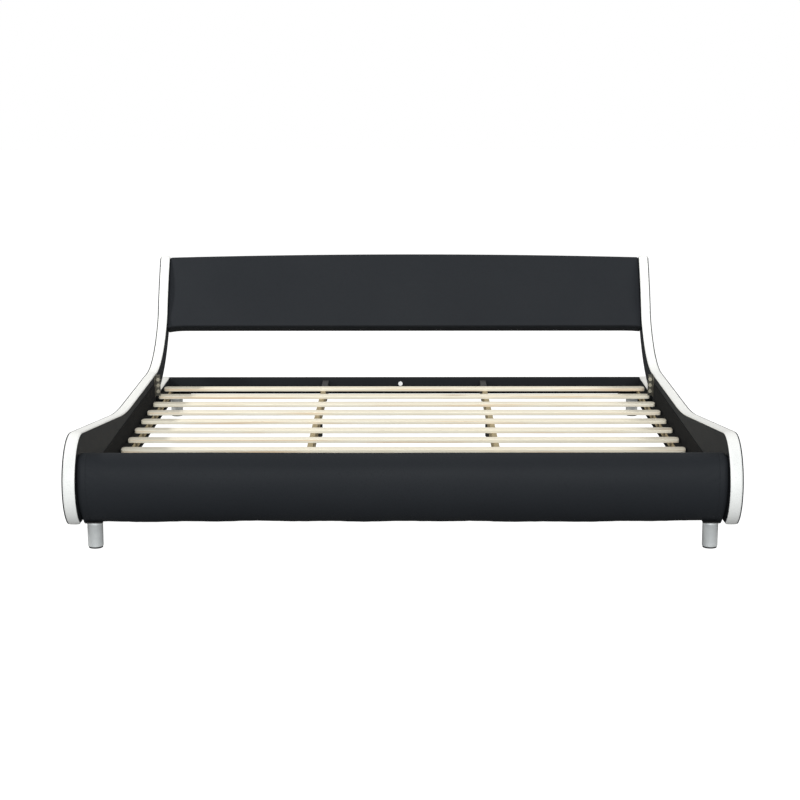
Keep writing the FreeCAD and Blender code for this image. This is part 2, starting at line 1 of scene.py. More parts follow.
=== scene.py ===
"""The looks of a king-size upholstered sleigh bed frame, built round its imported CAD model.

Lengths are in metres in the CAD frame: +X is the bed's right seen from the foot, +Y runs from foot to head,
+Z is up and the floor is at zero. A station is a distance along the bed from the front of the side panels' roll.
"""
import json
import logging
import math
from dataclasses import dataclass, field
from enum import Enum
from typing import Callable, Iterable, Sequence

import bmesh
import bpy
import numpy as np
from mathutils import Matrix, Vector, geometry

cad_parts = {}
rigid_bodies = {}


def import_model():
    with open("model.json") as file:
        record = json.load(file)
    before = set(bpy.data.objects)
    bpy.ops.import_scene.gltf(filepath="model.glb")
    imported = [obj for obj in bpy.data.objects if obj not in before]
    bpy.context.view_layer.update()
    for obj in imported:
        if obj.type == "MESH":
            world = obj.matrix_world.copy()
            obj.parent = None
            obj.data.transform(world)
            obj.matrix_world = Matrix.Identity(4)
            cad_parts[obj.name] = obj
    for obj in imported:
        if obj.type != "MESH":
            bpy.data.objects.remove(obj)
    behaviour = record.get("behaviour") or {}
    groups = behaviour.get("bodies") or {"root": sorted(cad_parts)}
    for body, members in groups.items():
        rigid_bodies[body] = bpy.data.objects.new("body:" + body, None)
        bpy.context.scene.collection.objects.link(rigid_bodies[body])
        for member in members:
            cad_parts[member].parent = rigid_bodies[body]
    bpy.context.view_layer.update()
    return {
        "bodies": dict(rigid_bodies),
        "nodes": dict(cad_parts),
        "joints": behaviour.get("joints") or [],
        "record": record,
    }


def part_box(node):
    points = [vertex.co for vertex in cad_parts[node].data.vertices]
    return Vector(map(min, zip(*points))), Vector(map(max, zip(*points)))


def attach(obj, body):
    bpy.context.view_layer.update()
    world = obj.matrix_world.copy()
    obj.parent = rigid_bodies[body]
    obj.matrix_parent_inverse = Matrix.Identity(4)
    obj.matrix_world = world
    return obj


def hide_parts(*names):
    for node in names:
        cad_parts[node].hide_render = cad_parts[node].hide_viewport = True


log = logging.getLogger("sleigh_bed")
Array = np.ndarray
Piece = bpy.types.Object
Node = bpy.types.Node
Socket = bpy.types.NodeSocket
Colour = tuple[float, float, float, float]
Point = tuple[float, float]
Place = tuple[float, float, float]
ROOT = "root"
HOLD_LEVELS = 20
CLOTH_STIFFNESS = 25.0
RIM_STEPS = 5
RING_CLEARANCE = 0.97


class Side(Enum):
    """The two sides of the bed, each with the sign of its X."""

    LEFT = -1
    RIGHT = 1

    @property
    def word(self) -> str:
        """The side's name in the CAD nodes."""
        return self.name.lower()


# ---- meshes ----------------------------------------------------------------------------------------------


def mesh_object(name: str, points: Array, faces: Iterable[Sequence[int]], sharp_deg: float = 40.0) -> Piece:
    """Makes a smooth-shaded mesh object whose edges over an angle stay sharp.

    Args:
        name: The piece's name.
        points: Vertex positions, one row each.
        faces: Vertex numbers of each face, ordered so that the face points outwards.
        sharp_deg: Edges that turn by more than this angle are drawn sharp.

    Returns:
        The object, linked to the scene at the origin.
    """
    mesh = bpy.data.meshes.new(name)
    flat = np.asarray(points, float).reshape(-1, 3)
    mesh.from_pydata(flat.tolist(), [], [list(map(int, f)) for f in faces])
    mesh.validate(clean_customdata=False)
    mesh.shade_smooth()
    mesh.set_sharp_from_angle(angle=math.radians(sharp_deg))
    piece = bpy.data.objects.new(name, mesh)
    bpy.context.scene.collection.objects.link(piece)
    return piece


def loft(name: str, sections: Array, sharp_deg: float = 40.0) -> Piece:
    """Skins a row of closed sections and closes both ends with a flat face.

    The surface is point(i, j) = sections[i, j], where i runs along the piece and j round each section; the
    sections turn counter-clockwise seen from the end of the row looking back.

    Args:
        name: The piece's name.
        sections: Positions with the shape (sections, points in a section, 3).
        sharp_deg: Edges that turn by more than this angle are drawn sharp.

    Returns:
        The closed piece.
    """
    rows, around, _ = sections.shape
    i, j = np.meshgrid(np.arange(rows - 1), np.arange(around), indexing="ij")
    following = (j + 1) % around
    here, ahead = i * around, (i + 1) * around
    quads = np.stack([here + j, ahead + j, ahead + following, here + following], -1)
    faces = quads.reshape(-1, 4).tolist()
    first = list(range(around))
    last = [(rows - 1) * around + k for k in reversed(range(around))]
    piece = mesh_object(name, sections.reshape(-1, 3), [*faces, first, last], sharp_deg)
    outward(piece)
    return piece


def outward(piece: Piece) -> None:
    """Turns a closed piece's faces outwards if its signed volume is negative."""
    mesh = piece.data
    mesh.calc_loop_triangles()
    count = len(mesh.loop_triangles)
    corners = np.empty(count * 3, np.int32)
    mesh.loop_triangles.foreach_get("vertices", corners)
    points = np.empty(len(mesh.vertices) * 3)
    mesh.vertices.foreach_get("co", points)
    a, b, c = points.reshape(-1, 3)[corners.reshape(-1, 3)].transpose(1, 0, 2)
    if np.einsum("ij,ij->", a, np.cross(b, c)) < 0:
        mesh.flip_normals()


def lathe(name: str, profile: Array, centre: Point, turns: int = 64) -> Piece:
    """Turns a half profile about an upright axis.

    The surface is point(i, j) = centre + radius_i * (cos a_j, sin a_j) at height_i, with a_j round the circle.

    Args:
        name: The piece's name.
        profile: Rows of (radius, height) from the foot to the top.
        centre: X and Y of the axis.
        turns: Points round the circle.

    Returns:
        The closed round piece.
    """
    angle = np.linspace(0, 2 * np.pi, turns, endpoint=False)
    ring = np.stack([np.cos(angle), np.sin(angle)], -1)
    flat = profile[:, None, :1] * ring[None] + np.asarray(centre)
    height = np.broadcast_to(profile[:, None, 1:], flat.shape[:2] + (1,))
    return loft(name, np.concatenate([flat, height], -1), sharp_deg=50.0)


def rounded_rectangle(width: float, height: float, radius: float, steps: int = 4) -> Array:
    """The outline of a rectangle with rounded corners about the origin, counter-clockwise.

    Args:
        width: Its size along the first axis.
        height: Its size along the second axis.
        radius: The corners' radius.
        steps: Stretches in each corner's quarter circle.

    Returns:
        Rows of two coordinates.
    """
    quarter = np.linspace(0, np.pi / 2, steps + 1)
    corner = np.stack([np.cos(quarter), np.sin(quarter)], -1) * radius
    turns = []
    for k, (sx, sy) in enumerate(((1, 1), (-1, 1), (-1, -1), (1, -1))):
        cosine, sine = np.cos(k * np.pi / 2), np.sin(k * np.pi / 2)
        spin = np.array([[cosine, sine], [-sine, cosine]])
        turns.append(corner @ spin + (sx * (width / 2 - radius), sy * (height / 2 - radius)))
    return np.concatenate(turns)


def waves(x: Array, y: Array, seed: int, longest: float, count: int = 6) -> Array:
    """A smooth random ripple: the mean of sine waves whose lengths shrink from the longest, in -1 to 1.

    Args:
        x: First coordinate of each point.
        y: Second coordinate of each point.
        seed: Chooses directions and phases.
        longest: The longest wavelength.
        count: How many waves are added.

    Returns:
        The ripple's height at each point.
    """
    draw = np.random.default_rng(seed)
    total = np.zeros(np.broadcast(x, y).shape)
    for k in range(count):
        angle, phase = draw.uniform(0, np.pi), draw.uniform(0, 2 * np.pi)
        pitch = longest / (1 + 0.6 * k)
        total += np.sin(2 * np.pi * (x * np.cos(angle) + y * np.sin(angle)) / pitch + phase) / (1 + 0.5 * k)
    return total / count * 2


@dataclass(frozen=True)
class Stretch:
    """One stretch of an edge in the side plane: an arc about a centre, or a straight line where radius is zero.

    Attributes:
        centre: (Y, Z) of the arc's centre, or the line's start.
        radius: The arc's radius, or zero.
        first: The arc's first angle in radians, or the line's heading.
        last: The arc's last angle in radians, or the line's length.
    """

    centre: Point
    radius: float
    first: float
    last: float

    def sample(self, spacing: float) -> tuple[Array, Array]:
        """Points along the stretch and the normals on its left-hand side.

        Args:
            spacing: The longest gap between two points.

        Returns:
            Positions and unit normals, one row each.
        """
        if self.radius == 0.0:
            steps = max(2, math.ceil(self.last / spacing) + 1)
            run = np.array([math.cos(self.first), math.sin(self.first)])
            points = np.asarray(self.centre) + np.linspace(0, self.last, steps)[:, None] * run
            return points, np.tile([-run[1], run[0]], (steps, 1))
        steps = max(3, math.ceil(abs(self.last - self.first) * self.radius / spacing) + 1)
        angle = np.linspace(self.first, self.last, steps)
        spoke = np.stack([np.cos(angle), np.sin(angle)], -1)
        return np.asarray(self.centre) + spoke * self.radius, spoke * np.sign(self.first - self.last)


class EdgePath:
    """A smooth chain of stretches, each leaving along the heading that the one before it reached."""

    def __init__(self, start: Point, heading: float) -> None:
        """Starts a path at a point of the side plane, along a heading in radians."""
        self.point, self.heading = np.array(start, float), heading
        self.stretches: list[Stretch] = []

    def line(self, length: float) -> "EdgePath":
        """Adds a straight stretch and returns the path."""
        self.stretches.append(Stretch(tuple(self.point), 0.0, self.heading, length))
        self.point = self.point + length * np.array([math.cos(self.heading), math.sin(self.heading)])
        return self

    def arc(self, radius: float, turn: float) -> "EdgePath":
        """Adds an arc that turns by an angle in radians, left where it is positive, and returns the path."""
        side = math.copysign(math.pi / 2, turn)
        reach = self.heading + side
        centre = self.point + radius * np.array([math.cos(reach), math.sin(reach)])
        first = self.heading - side
        self.stretches.append(Stretch(tuple(centre), radius, first, first + turn))
        self.heading += turn
        self.point = centre + radius * np.array([math.cos(first + turn), math.sin(first + turn)])
        return self

    def sample(self, spacing: float = 0.012) -> tuple[Array, Array]:
        """Points and left-hand normals along the whole path, without doubled joins."""
        parts = [stretch.sample(spacing) for stretch in self.stretches]
        points = np.concatenate([p[0] if k == 0 else p[0][1:] for k, p in enumerate(parts)])
        normals = np.concatenate([p[1] if k == 0 else p[1][1:] for k, p in enumerate(parts)])
        return points, normals


def distance_to_outline(points: Array, outline: Array) -> Array:
    """The distance of each point to the nearest stretch of a closed outline.

    Args:
        points: Rows of two coordinates.
        outline: The outline's corners in order.

    Returns:
        One distance for each point.
    """
    start, end = outline, np.roll(outline, -1, axis=0)
    run = end - start
    squared = np.maximum((run**2).sum(1), 1e-18)
    nearest = np.full(len(points), np.inf)
    for low in range(0, len(points), 2000):
        part = points[low : low + 2000]
        gap = part[:, None] - start
        share = np.clip((gap * run).sum(2) / squared, 0, 1)
        away = gap - share[..., None] * run
        nearest[low : low + 2000] = np.sqrt((away**2).sum(2).min(1))
    return nearest


def inside_outline(points: Array, outline: Array) -> Array:
    """Whether each point is inside a closed outline, by counting the crossings of a ray."""
    x, y = points[:, None, 0], points[:, None, 1]
    x0, y0 = outline[:, 0], outline[:, 1]
    x1, y1 = np.roll(x0, -1), np.roll(y0, -1)
    crosses = (y0 > y) != (y1 > y)
    rise = np.where(np.abs(y1 - y0) < 1e-12, 1e-12, y1 - y0)
    return ((crosses & (x < (x1 - x0) * (y - y0) / rise + x0)).sum(1) % 2) == 1


def resample(outline: Array, spacing: float) -> Array:
    """The same closed outline with extra points, so that no gap is longer than the spacing."""
    pieces = []
    for a, b in zip(outline, np.roll(outline, -1, axis=0)):
        steps = max(1, math.ceil(float(np.linalg.norm(b - a)) / spacing))
        pieces.append(a + (b - a) * (np.arange(steps) / steps)[:, None])
    return np.concatenate(pieces)


@dataclass(frozen=True)
class PadShape:
    """How a flat upholstered pad swells from its outline.

    Attributes:
        thickness: From the back to the face beside the rounded rim.
        rim: The radius of the rounded rim.
        crown: How much further the middle of the face stands out.
        reach: The distance from the rim over which most of the crown is gained.
        ripple: The height of the leather's slow unevenness.
        ripple_length: The longest wavelength of that unevenness.
        spacing: The mesh's spacing on the face.
    """

    thickness: float
    rim: float
    crown: float
    reach: float
    ripple: float
    ripple_length: float
    spacing: float


@dataclass(frozen=True)
class Plane:
    """A local frame for a flat piece: its origin, its two face axes and the way its face looks."""

    origin: Place
    across: Place
    up: Place
    out: Place

    def place(self, flat: Array, height: Array) -> Array:
        """Positions of points with two face coordinates and a height above the back."""
        origin, across, up, out = map(np.asarray, (self.origin, self.across, self.up, self.out))
        return origin + flat[:, :1] * across + flat[:, 1:] * up + height[:, None] * out


def upholstered_pad(name: str, outline: Array, plane: Plane, shape: PadShape, seed: int,
                    skirt: Sequence[Point] = ((0.0, 0.0),), blown: float = 0.0) -> Piece:
    """Builds a closed pad over an outline of any shape.

    With d the distance to the outline, the face's height is thickness - rim + sqrt(rim^2 - (rim - d)^2) on the
    rounded rim, and beyond it thickness + crown * (1 - exp(-(d - rim) / reach)) plus a slow ripple that fades
    out towards the rim. Rings carry on from the rim round the edge, and a flat face closes the last one.

    Args:
        name: The piece's name.
        outline: Corners of the pad in the plane's two coordinates, in order.
        plane: Where the pad lies.
        shape: How it swells.
        seed: Chooses the ripple.
        skirt: The inset and height of each ring after the rim.
        blown: How far the face's furthest point moves in the cloth simulation, or zero for none.

    Returns:
        The closed piece.
    """
    rim_line = resample(outline, shape.spacing)
    turn = np.roll(rim_line, -1, axis=0) - np.roll(rim_line, 1, axis=0)
    inward = np.stack([-turn[:, 1], turn[:, 0]], -1)
    inward /= np.maximum(np.linalg.norm(inward, axis=1, keepdims=True), 1e-12)
    area = (rim_line[:, 0] * np.roll(rim_line[:, 1], -1) - np.roll(rim_line[:, 0], -1) * rim_line[:, 1]).sum()
    inward *= np.sign(area)
    quarter = [k * math.pi / (2 * RIM_STEPS) for k in range(1, RIM_STEPS + 1)]
    insets = [shape.rim * (1 - math.cos(angle)) for angle in quarter] + [shape.rim * 2]
    rings = [(rim_line + inward * inset, inset * RING_CLEARANCE) for inset in insets]
    low, high = rim_line.min(0), rim_line.max(0)
    columns = np.arange(low[0], high[0], shape.spacing)
    rows = np.arange(low[1], high[1], shape.spacing)
    lattice = np.stack(np.meshgrid(columns, rows, indexing="ij"), -1).reshape(-1, 2)
    rings.append((lattice, shape.rim * 2 + shape.spacing * 0.5))
    kept = [rim_line]
    for candidates, least in rings:
        candidates = candidates[inside_outline(candidates, rim_line)]
        kept.append(candidates[distance_to_outline(candidates, rim_line) >= least])
    flat = np.concatenate(kept)
    count = len(rim_line)
    loop = [(k, (k + 1) % count) for k in range(count)]
    corners, _, triangles, origins, _, _ = geometry.delaunay_2d_cdt(
        [Vector(p) for p in flat.tolist()], loop, [], 1, 1e-7)
    flat = np.array([tuple(c) for c in corners])
    gap = distance_to_outline(flat, rim_line)
    on_rim = np.minimum(gap, shape.rim)
    height = shape.thickness - shape.rim + np.sqrt(np.maximum(shape.rim**2 - (shape.rim - on_rim) ** 2, 0))
    beyond = np.maximum(gap - shape.rim, 0)
    swell = 1 - np.exp(-beyond / shape.reach)
    ripple = waves(flat[:, 0], flat[:, 1], seed, shape.ripple_length)
    height += shape.crown * swell + shape.ripple * swell * ripple
    order = {source: k for k, sources in enumerate(origins) for source in sources}
    rim = [order[k] for k in range(count)]
    loops = [np.array(rim)] + [len(flat) + count * k + np.arange(count) for k in range(len(skirt))]
    walls = [np.stack([a, b, np.roll(b, -1), np.roll(a, -1)], -1) for a, b in zip(loops, loops[1:])]
    rings = [plane.place(rim_line + inward * inset, np.full(count, level)) for inset, level in skirt]
    points = np.concatenate([plane.place(flat, height), *rings])
    faces = [*triangles, *np.concatenate(walls).tolist(), loops[-1].tolist()]
    piece = mesh_object(name, points, faces, sharp_deg=60.0)
    recalculate(piece)
    if blown:
        free = np.concatenate([swell, np.zeros(len(points) - len(flat))])
        inflate(piece, free, blown)
    return piece


def inflate(piece: Piece, free: Array, reach: float, pressure: float = 4.0, frames: int = 20) -> None:
    """Blows a closed pad up with a short cloth simulation and keeps a share of the movement.

    A vertex moves by its simulated displacement times reach / (the largest displacement), where that is under one.

    Args:
        piece: The closed pad.
        free: How free each vertex is, from held at zero to loose at one.
        reach: The furthest that any vertex may move.
        pressure: The air pressure inside.
        frames: The number of simulated frames.
    """
    count = len(piece.data.vertices)
    held = piece.vertex_groups.new(name="held")
    level = np.round((1 - np.clip(free, 0, 1)) * HOLD_LEVELS).astype(int)
    for step in np.unique(level):
        held.add(np.flatnonzero(level == step).tolist(), float(step) / HOLD_LEVELS, "REPLACE")
    cloth = piece.modifiers.new("inflate", "CLOTH")
    cloth.settings.vertex_group_mass = held.name
    cloth.settings.use_pressure = True
    cloth.settings.uniform_pressure_force = pressure
    cloth.settings.effector_weights.gravity = 0.0
    cloth.settings.tension_stiffness = cloth.settings.compression_stiffness = CLOTH_STIFFNESS
    cloth.point_cache.frame_start, cloth.point_cache.frame_end = 1, frames
    rest = np.empty(count * 3)
    piece.data.vertices.foreach_get("co", rest)
    scene = bpy.context.scene
    for frame in range(1, frames + 1):
        scene.frame_set(frame)
    moved = np.empty(count * 3)
    blown = piece.evaluated_get(bpy.context.evaluated_depsgraph_get())
    blown.data.vertices.foreach_get("co", moved)
    shift = (moved - rest).reshape(-1, 3)
    furthest = float(np.linalg.norm(shift, axis=1).max())
    piece.modifiers.remove(cloth)
    piece.vertex_groups.remove(held)
    scene.frame_set(1)
    piece.data.vertices.foreach_set("co", rest + (shift * min(1.0, reach / max(furthest, 1e-9))).ravel())
    piece.data.update()
    kept = min(furthest, reach)
    log.info("%s: cloth moved %.1f mm, kept %.1f mm", piece.name, furthest * 1000, kept * 1000)


def recalculate(piece: Piece) -> None:
    """Makes a closed piece's faces agree with each other and point outwards."""
    work = bmesh.new()
    work.from_mesh(piece.data)
    bmesh.ops.recalc_face_normals(work, faces=work.faces)
    work.to_mesh(piece.data)
    work.free()
    outward(piece)


def sweep_band(name: str, path: EdgePath, section: Array, lift: Callable[[Array, Array], Array]) -> Piece:
    """Carries a closed section along a path in the side plane.

    The surface is point(i, j) = path_i + normal_i * (height_j + lift(i, j)), at the section's own X.

    Args:
        name: The piece's name.
        path: The outer face's line.
        section: Rows of (X, height above the path).
        lift: Gives a small extra height from the distance along the path and X.

    Returns:
        The closed piece.
    """
    points, normals = path.sample()
    along = np.concatenate([[0], np.cumsum(np.linalg.norm(np.diff(points, axis=0), axis=1))])
    x = np.broadcast_to(section[:, 0], (len(points), len(section)))
    outer = section[:, 1] > section[:, 1].min() + 1e-6
    height = section[:, 1] + np.where(outer, lift(along[:, None], x), 0)
    flat = points[:, None] + normals[:, None] * height[..., None]
    return loft(name, np.concatenate([x[..., None], flat], -1))


# ---- shader graphs ---------------------------------------------------------------------------------------


class Graph:
    """A short way to add and join nodes in a material or a node group."""

    def __init__(self, tree: bpy.types.NodeTree) -> None:
        """Wraps a node tree."""
        self.tree = tree

    def add(self, kind: str, inputs: dict[str | int, object] | None = None, **settings: object) -> Node:
        """Adds a node, sets its properties and fills its inputs.

        Args:
            kind: The node's type, without its ShaderNode prefix.
            inputs: Values or output sockets by input name or number.
            **settings: Properties of the node.

        Returns:
            The node.
        """
        node = self.tree.nodes.new("ShaderNode" + kind)
        for key, value in settings.items():
            setattr(node, key, value)
        for key, value in (inputs or {}).items():
            if isinstance(value, Socket):
                self.tree.links.new(value, node.inputs[key])
            else:
                node.inputs[key].default_value = value
        return node

    def coords(self) -> Socket:
        """The piece's own Object coordinates."""
        return self.add("TexCoord").outputs["Object"]

    def scaled(self, vector: Socket, scale: Place) -> Socket:
        """A vector with its three parts scaled."""
        return self.add("Mapping", {"Vector": vector, "Scale": scale}).outputs[0]

    def math(self, operation: str, a: object, b: object = 0.0, clamp: bool = False) -> Socket:
        """The result of a Math node."""
        return self.add("Math", {0: a, 1: b}, operation=operation, use_clamp=clamp).outputs[0]

    def spread(self, value: object, low: float, high: float, to_low: float, to_high: float) -> Socket:
        """A value mapped from one range to another and clamped."""
        return self.add("MapRange", {"Value": value, "From Min": low, "From Max": high, "To Min": to_low,
                                     "To Max": to_high}).outputs[0]

    def blend(self, factor: object, a: object, b: object, mode: str = "MIX") -> Socket:
        """A colour mixed from two others."""
        node = self.add("Mix", {"Factor": factor}, data_type="RGBA", blend_type=mode)
        for name, value in (("A", a), ("B", b)):
            socket = next(s for s in node.inputs if s.name == name and s.type == "RGBA")
            if isinstance(value, Socket):
                self.tree.links.new(value, socket)
            else:
                socket.default_value = value
        return next(s for s in node.outputs if s.type == "RGBA")

    def noise(self, vector: object, scale: float, detail: float = 4.0, roughness: float = 0.5,
              distortion: float = 0.0) -> Socket:
        """The grey value of a noise texture."""
        inputs = {"Vector": vector, "Scale": scale, "Detail": detail, "Roughness": roughness,
                  "Distortion": distortion}
        return self.add("TexNoise", inputs).outputs[0]


class Effect(Enum):
    """Surface effects that several finishes share, each a node group."""

    GRAIN = "leather_grain"
    TIMBER = "timber_figure"
    WEAVE = "cloth_weave"
    SCUFF = "scuffs_and_dust"
    BRUSH = "drawn_metal"


def new_group(effect: Effect, inputs: dict[str, float],
              outputs: Sequence[str]) -> tuple[Graph, dict[str, Socket], Callable[..., None]]:
    """Starts a node group with named value sockets.

    Args:
        effect: Which effect it is.
        inputs: Input names with their first values.
        outputs: Output names, all of them values.

    Returns:
        The group's graph, its inputs' sockets by name and a function that joins sockets to its outputs.
    """
    tree = bpy.data.node_groups.new(effect.value, "ShaderNodeTree")
    for name, value in inputs.items():
        socket = tree.interface.new_socket(name, in_out="INPUT", socket_type="NodeSocketFloat")
        socket.default_value = value
    for name in outputs:
        tree.interface.new_socket(name, in_out="OUTPUT", socket_type="NodeSocketFloat")
    graph = Graph(tree)
    entry = tree.nodes.new("NodeGroupInput")
    leave = tree.nodes.new("NodeGroupOutput")

    def give(**sockets: Socket) -> None:
        """Joins sockets to the group's outputs by name."""
        for name, socket in sockets.items():
            tree.links.new(socket, leave.inputs[name])

    return graph, {name: entry.outputs[name] for name in inputs}, give


def build_grain() -> None:
    """Pebbled leather grain: cells a millimetre or so across, softened by noise, over slow unevenness."""
    graph, given, give = new_group(Effect.GRAIN, {"Cell": 700.0, "Softness": 0.5},
                                   ("Height", "Tone", "Pores"))
    place = graph.coords()
    cells = graph.add("TexVoronoi", {"Vector": place, "Scale": given["Cell"],
                                     "Smoothness": given["Softness"]}, feature="SMOOTH_F1")
    creases = graph.add("TexVoronoi", {"Vector": place, "Scale": graph.math("MULTIPLY", given["Cell"], 0.31)},
                        feature="DISTANCE_TO_EDGE")
    crease = graph.spread(creases.outputs["Distance"], 0.0, 0.09, 0.0, 1.0)
    fine = graph.noise(place, 900.0, 2.0)
    pebble = graph.math("SUBTRACT", 1.0, cells.outputs["Distance"])
    mixed = graph.math("ADD", graph.math("MULTIPLY", pebble, 0.55), graph.math("MULTIPLY", crease, 0.3))
    height = graph.math("ADD", mixed, graph.math("MULTIPLY", fine, 0.15))
    slow = graph.noise(place, 3.1, 5.0, 0.55)
    # Pores marks the grain's creases, where the leather paints shade.
    give(Height=height, Tone=slow, Pores=graph.math("SUBTRACT", 1.0, crease))


def build_timber() -> None:
    """Sawn softwood: rings stretched along the piece, fine fibre, and a few knots.

    Lengthwise is zero for a piece along X and one for a piece along Y, whose two coordinates change places.
    """
    graph, given, give = new_group(Effect.TIMBER, {"Rings": 55.0, "Fibre": 1.0, "Lengthwise": 0.0},
                                    ("Rings", "Fibre", "Knots", "Tone"))
    parts = graph.add("SeparateXYZ", {0: graph.coords()}).outputs
    turn = given["Lengthwise"]
    spans = graph.math("SUBTRACT", parts["Y"], parts["X"])
    moved = graph.math("MULTIPLY", spans, turn)
    place = graph.add("CombineXYZ", {0: graph.math("ADD", parts["X"], moved),
                                     1: graph.math("SUBTRACT", parts["Y"], moved), 2: parts["Z"]}).outputs[0]
    drawn = graph.scaled(place, (0.06, 1.0, 1.0))
    bend = graph.noise(graph.scaled(place, (0.5, 6.0, 6.0)), 2.2, 3.0)
    sway = graph.add("CombineXYZ", {1: graph.math("MULTIPLY", bend, 0.06)}).outputs[0]
    shifted = graph.add("VectorMath", {0: drawn, 1: sway}, operation="ADD").outputs[0]
    rings = graph.add("TexWave", {"Vector": shifted, "Scale": given["Rings"], "Distortion": 2.6,
                                  "Detail": 3.0, "Detail Scale": 1.4}, wave_type="BANDS", bands_direction="Y")
    fibre = graph.noise(graph.scaled(place, (4.0, 320.0, 320.0)), 1.0, 5.0, 0.65)
    cells = graph.add("TexVoronoi", {"Vector": graph.scaled(place, (1.1, 6.1, 3.0)), "Scale": 1.0})
    knots = graph.spread(cells.outputs["Distance"], 0.02, 0.075, 1.0, 0.0)
    give(Rings=rings.outputs["Fac"], Fibre=graph.math("MULTIPLY", fibre, given["Fibre"]), Knots=knots,
         Tone=graph.noise(graph.scaled(place, (0.7, 6.2, 1.0)), 1.0, 2.0))


def build_weave() -> None:
    """Plain cloth: two crossed sets of threads with a little fuzz."""
    graph, given, give = new_group(Effect.WEAVE, {"Threads": 900.0}, ("Height", "Fuzz"))
    place = graph.coords()
    warp = graph.add("TexWave", {"Vector": place, "Scale": given["Threads"]}, bands_direction="Y")
    weft = graph.add("TexWave", {"Vector": place, "Scale": given["Threads"]}, bands_direction="Z")
    give(Height=graph.math("MAXIMUM", warp.outputs["Fac"], weft.outputs["Fac"]),
         Fuzz=graph.noise(place, 420.0, 6.0, 0.7))


def build_scuff() -> None:
    """Handling marks: cloudy dust and sparse fine scratches."""
    graph, given, give = new_group(Effect.SCUFF, {"Amount": 0.3}, ("Dust", "Scratch"))
    place = graph.coords()
    cloud = graph.noise(place, 4.5, 8.0, 0.62)
    scratch = graph.noise(graph.scaled(place, (1.0, 26.0, 26.0)), 8.0, 2.0, 0.5, 0.6)
    give(Dust=graph.math("MULTIPLY", graph.spread(cloud, 0.45, 0.75, 0.0, 1.0), given["Amount"]),
         Scratch=graph.math("MULTIPLY", graph.spread(scratch, 0.66, 0.72, 0.0, 1.0), given["Amount"]))


def build_brush() -> None:
    """Drawn metal: fine lines round the piece, crossed by cloudy oxide."""
    graph, given, give = new_group(Effect.BRUSH, {"Lines": 1.0}, ("Lines", "Cloud"))
    place = graph.coords()
    lines = graph.noise(graph.scaled(place, (14.0, 14.0, 900.0)), 1.0, 3.0, 0.6)
    give(Lines=graph.math("MULTIPLY", lines, given["Lines"]), Cloud=graph.noise(place, 38.0, 5.0, 0.6))


def use_effect(graph: Graph, effect: Effect, **values: float) -> Node:
    """Places a shared effect in a material with its own values."""
    node = graph.tree.nodes.new("ShaderNodeGroup")
    node.node_tree = bpy.data.node_groups[effect.value]
    for name, value in values.items():
        node.inputs[name].default_value = value
    return node


@dataclass(frozen=True)
class Finish:
    """What every finish has: a name, the record's slot and a base colour.

    Attributes:
        name: The material's name.
        slot: The record's material slot; not used.
        colour: The main colour.
        second: The colour of grain lines, slow clouds, dust or threads.
        roughness: The middle of the roughness range.
    """

    name: str
    slot: str
    colour: Colour
    second: Colour
    roughness: float

    def start(self) -> tuple[Graph, Node]:
        """A new material's graph and its Principled shader, with the fixed values set."""
        material = bpy.data.materials.new(self.name)
        material.use_nodes = True
        graph = Graph(material.node_tree)
        shader = material.node_tree.nodes["Principled BSDF"]
        shader.inputs["Base Color"].default_value = self.colour
        shader.inputs["Roughness"].default_value = self.roughness
        return graph, shader

    def build(self) -> None:
        """Makes the material."""
        raise NotImplementedError

    @property
    def material(self) -> bpy.types.Material:
        """The material, made when it is first asked for."""
        if self.name not in bpy.data.materials:
            self.build()
        return bpy.data.materials[self.name]

    def close(self, graph: Graph, shader: Node, colour: Socket, rough: Socket, height: Socket,
              strength: float, distance: float) -> None:
        """Joins a colour, a roughness and a bump from a height to the shader."""
        bump = graph.add("Bump", {"Height": height, "Strength": strength, "Distance": distance})
        ends = {"Base Color": colour, "Roughness": rough, "Normal": bump.outputs["Normal"]}
        for name, socket in ends.items():
            graph.tree.links.new(socket, shader.inputs[name])


@dataclass(frozen=True)
class Leather(Finish):
    """Imitation leather with a pebbled grain.

    Attributes:
        cell: Grain cells in a metre.
        depth: How deep the grain looks.
        tone: How much of the second colour the slow clouds bring in.
        gloss: The specular level.
    """

    cell: float = 700.0
    depth: float = 0.25
    tone: float = 0.35
    gloss: float = 0.06

    def build(self) -> None:
        """Makes the material."""
        graph, shader = self.start()
        grain = use_effect(graph, Effect.GRAIN, Cell=self.cell)
        scuff = use_effect(graph, Effect.SCUFF, Amount=0.25)
        tone = graph.spread(grain.outputs["Tone"], 0.3, 0.7, 0.0, self.tone)
        colour = graph.blend(tone, self.colour, self.second)
        # Painted shade: the grain's creases are darkened to just over half the base colour.
        colour = graph.blend(graph.math("MULTIPLY", grain.outputs["Pores"], 0.35), colour,
                             tuple(c * 0.55 for c in self.colour[:3]) + (1.0,))
        matt = graph.spread(grain.outputs["Height"], 0.2, 0.9, self.roughness + 0.06, self.roughness - 0.05)
        rough = graph.math("ADD", matt, graph.math("MULTIPLY", scuff.outputs["Dust"], 0.12))
        self.close(graph, shader, colour, rough, grain.outputs["Height"], self.depth, 0.0006)
        shader.inputs["Specular IOR Level"].default_value = self.gloss


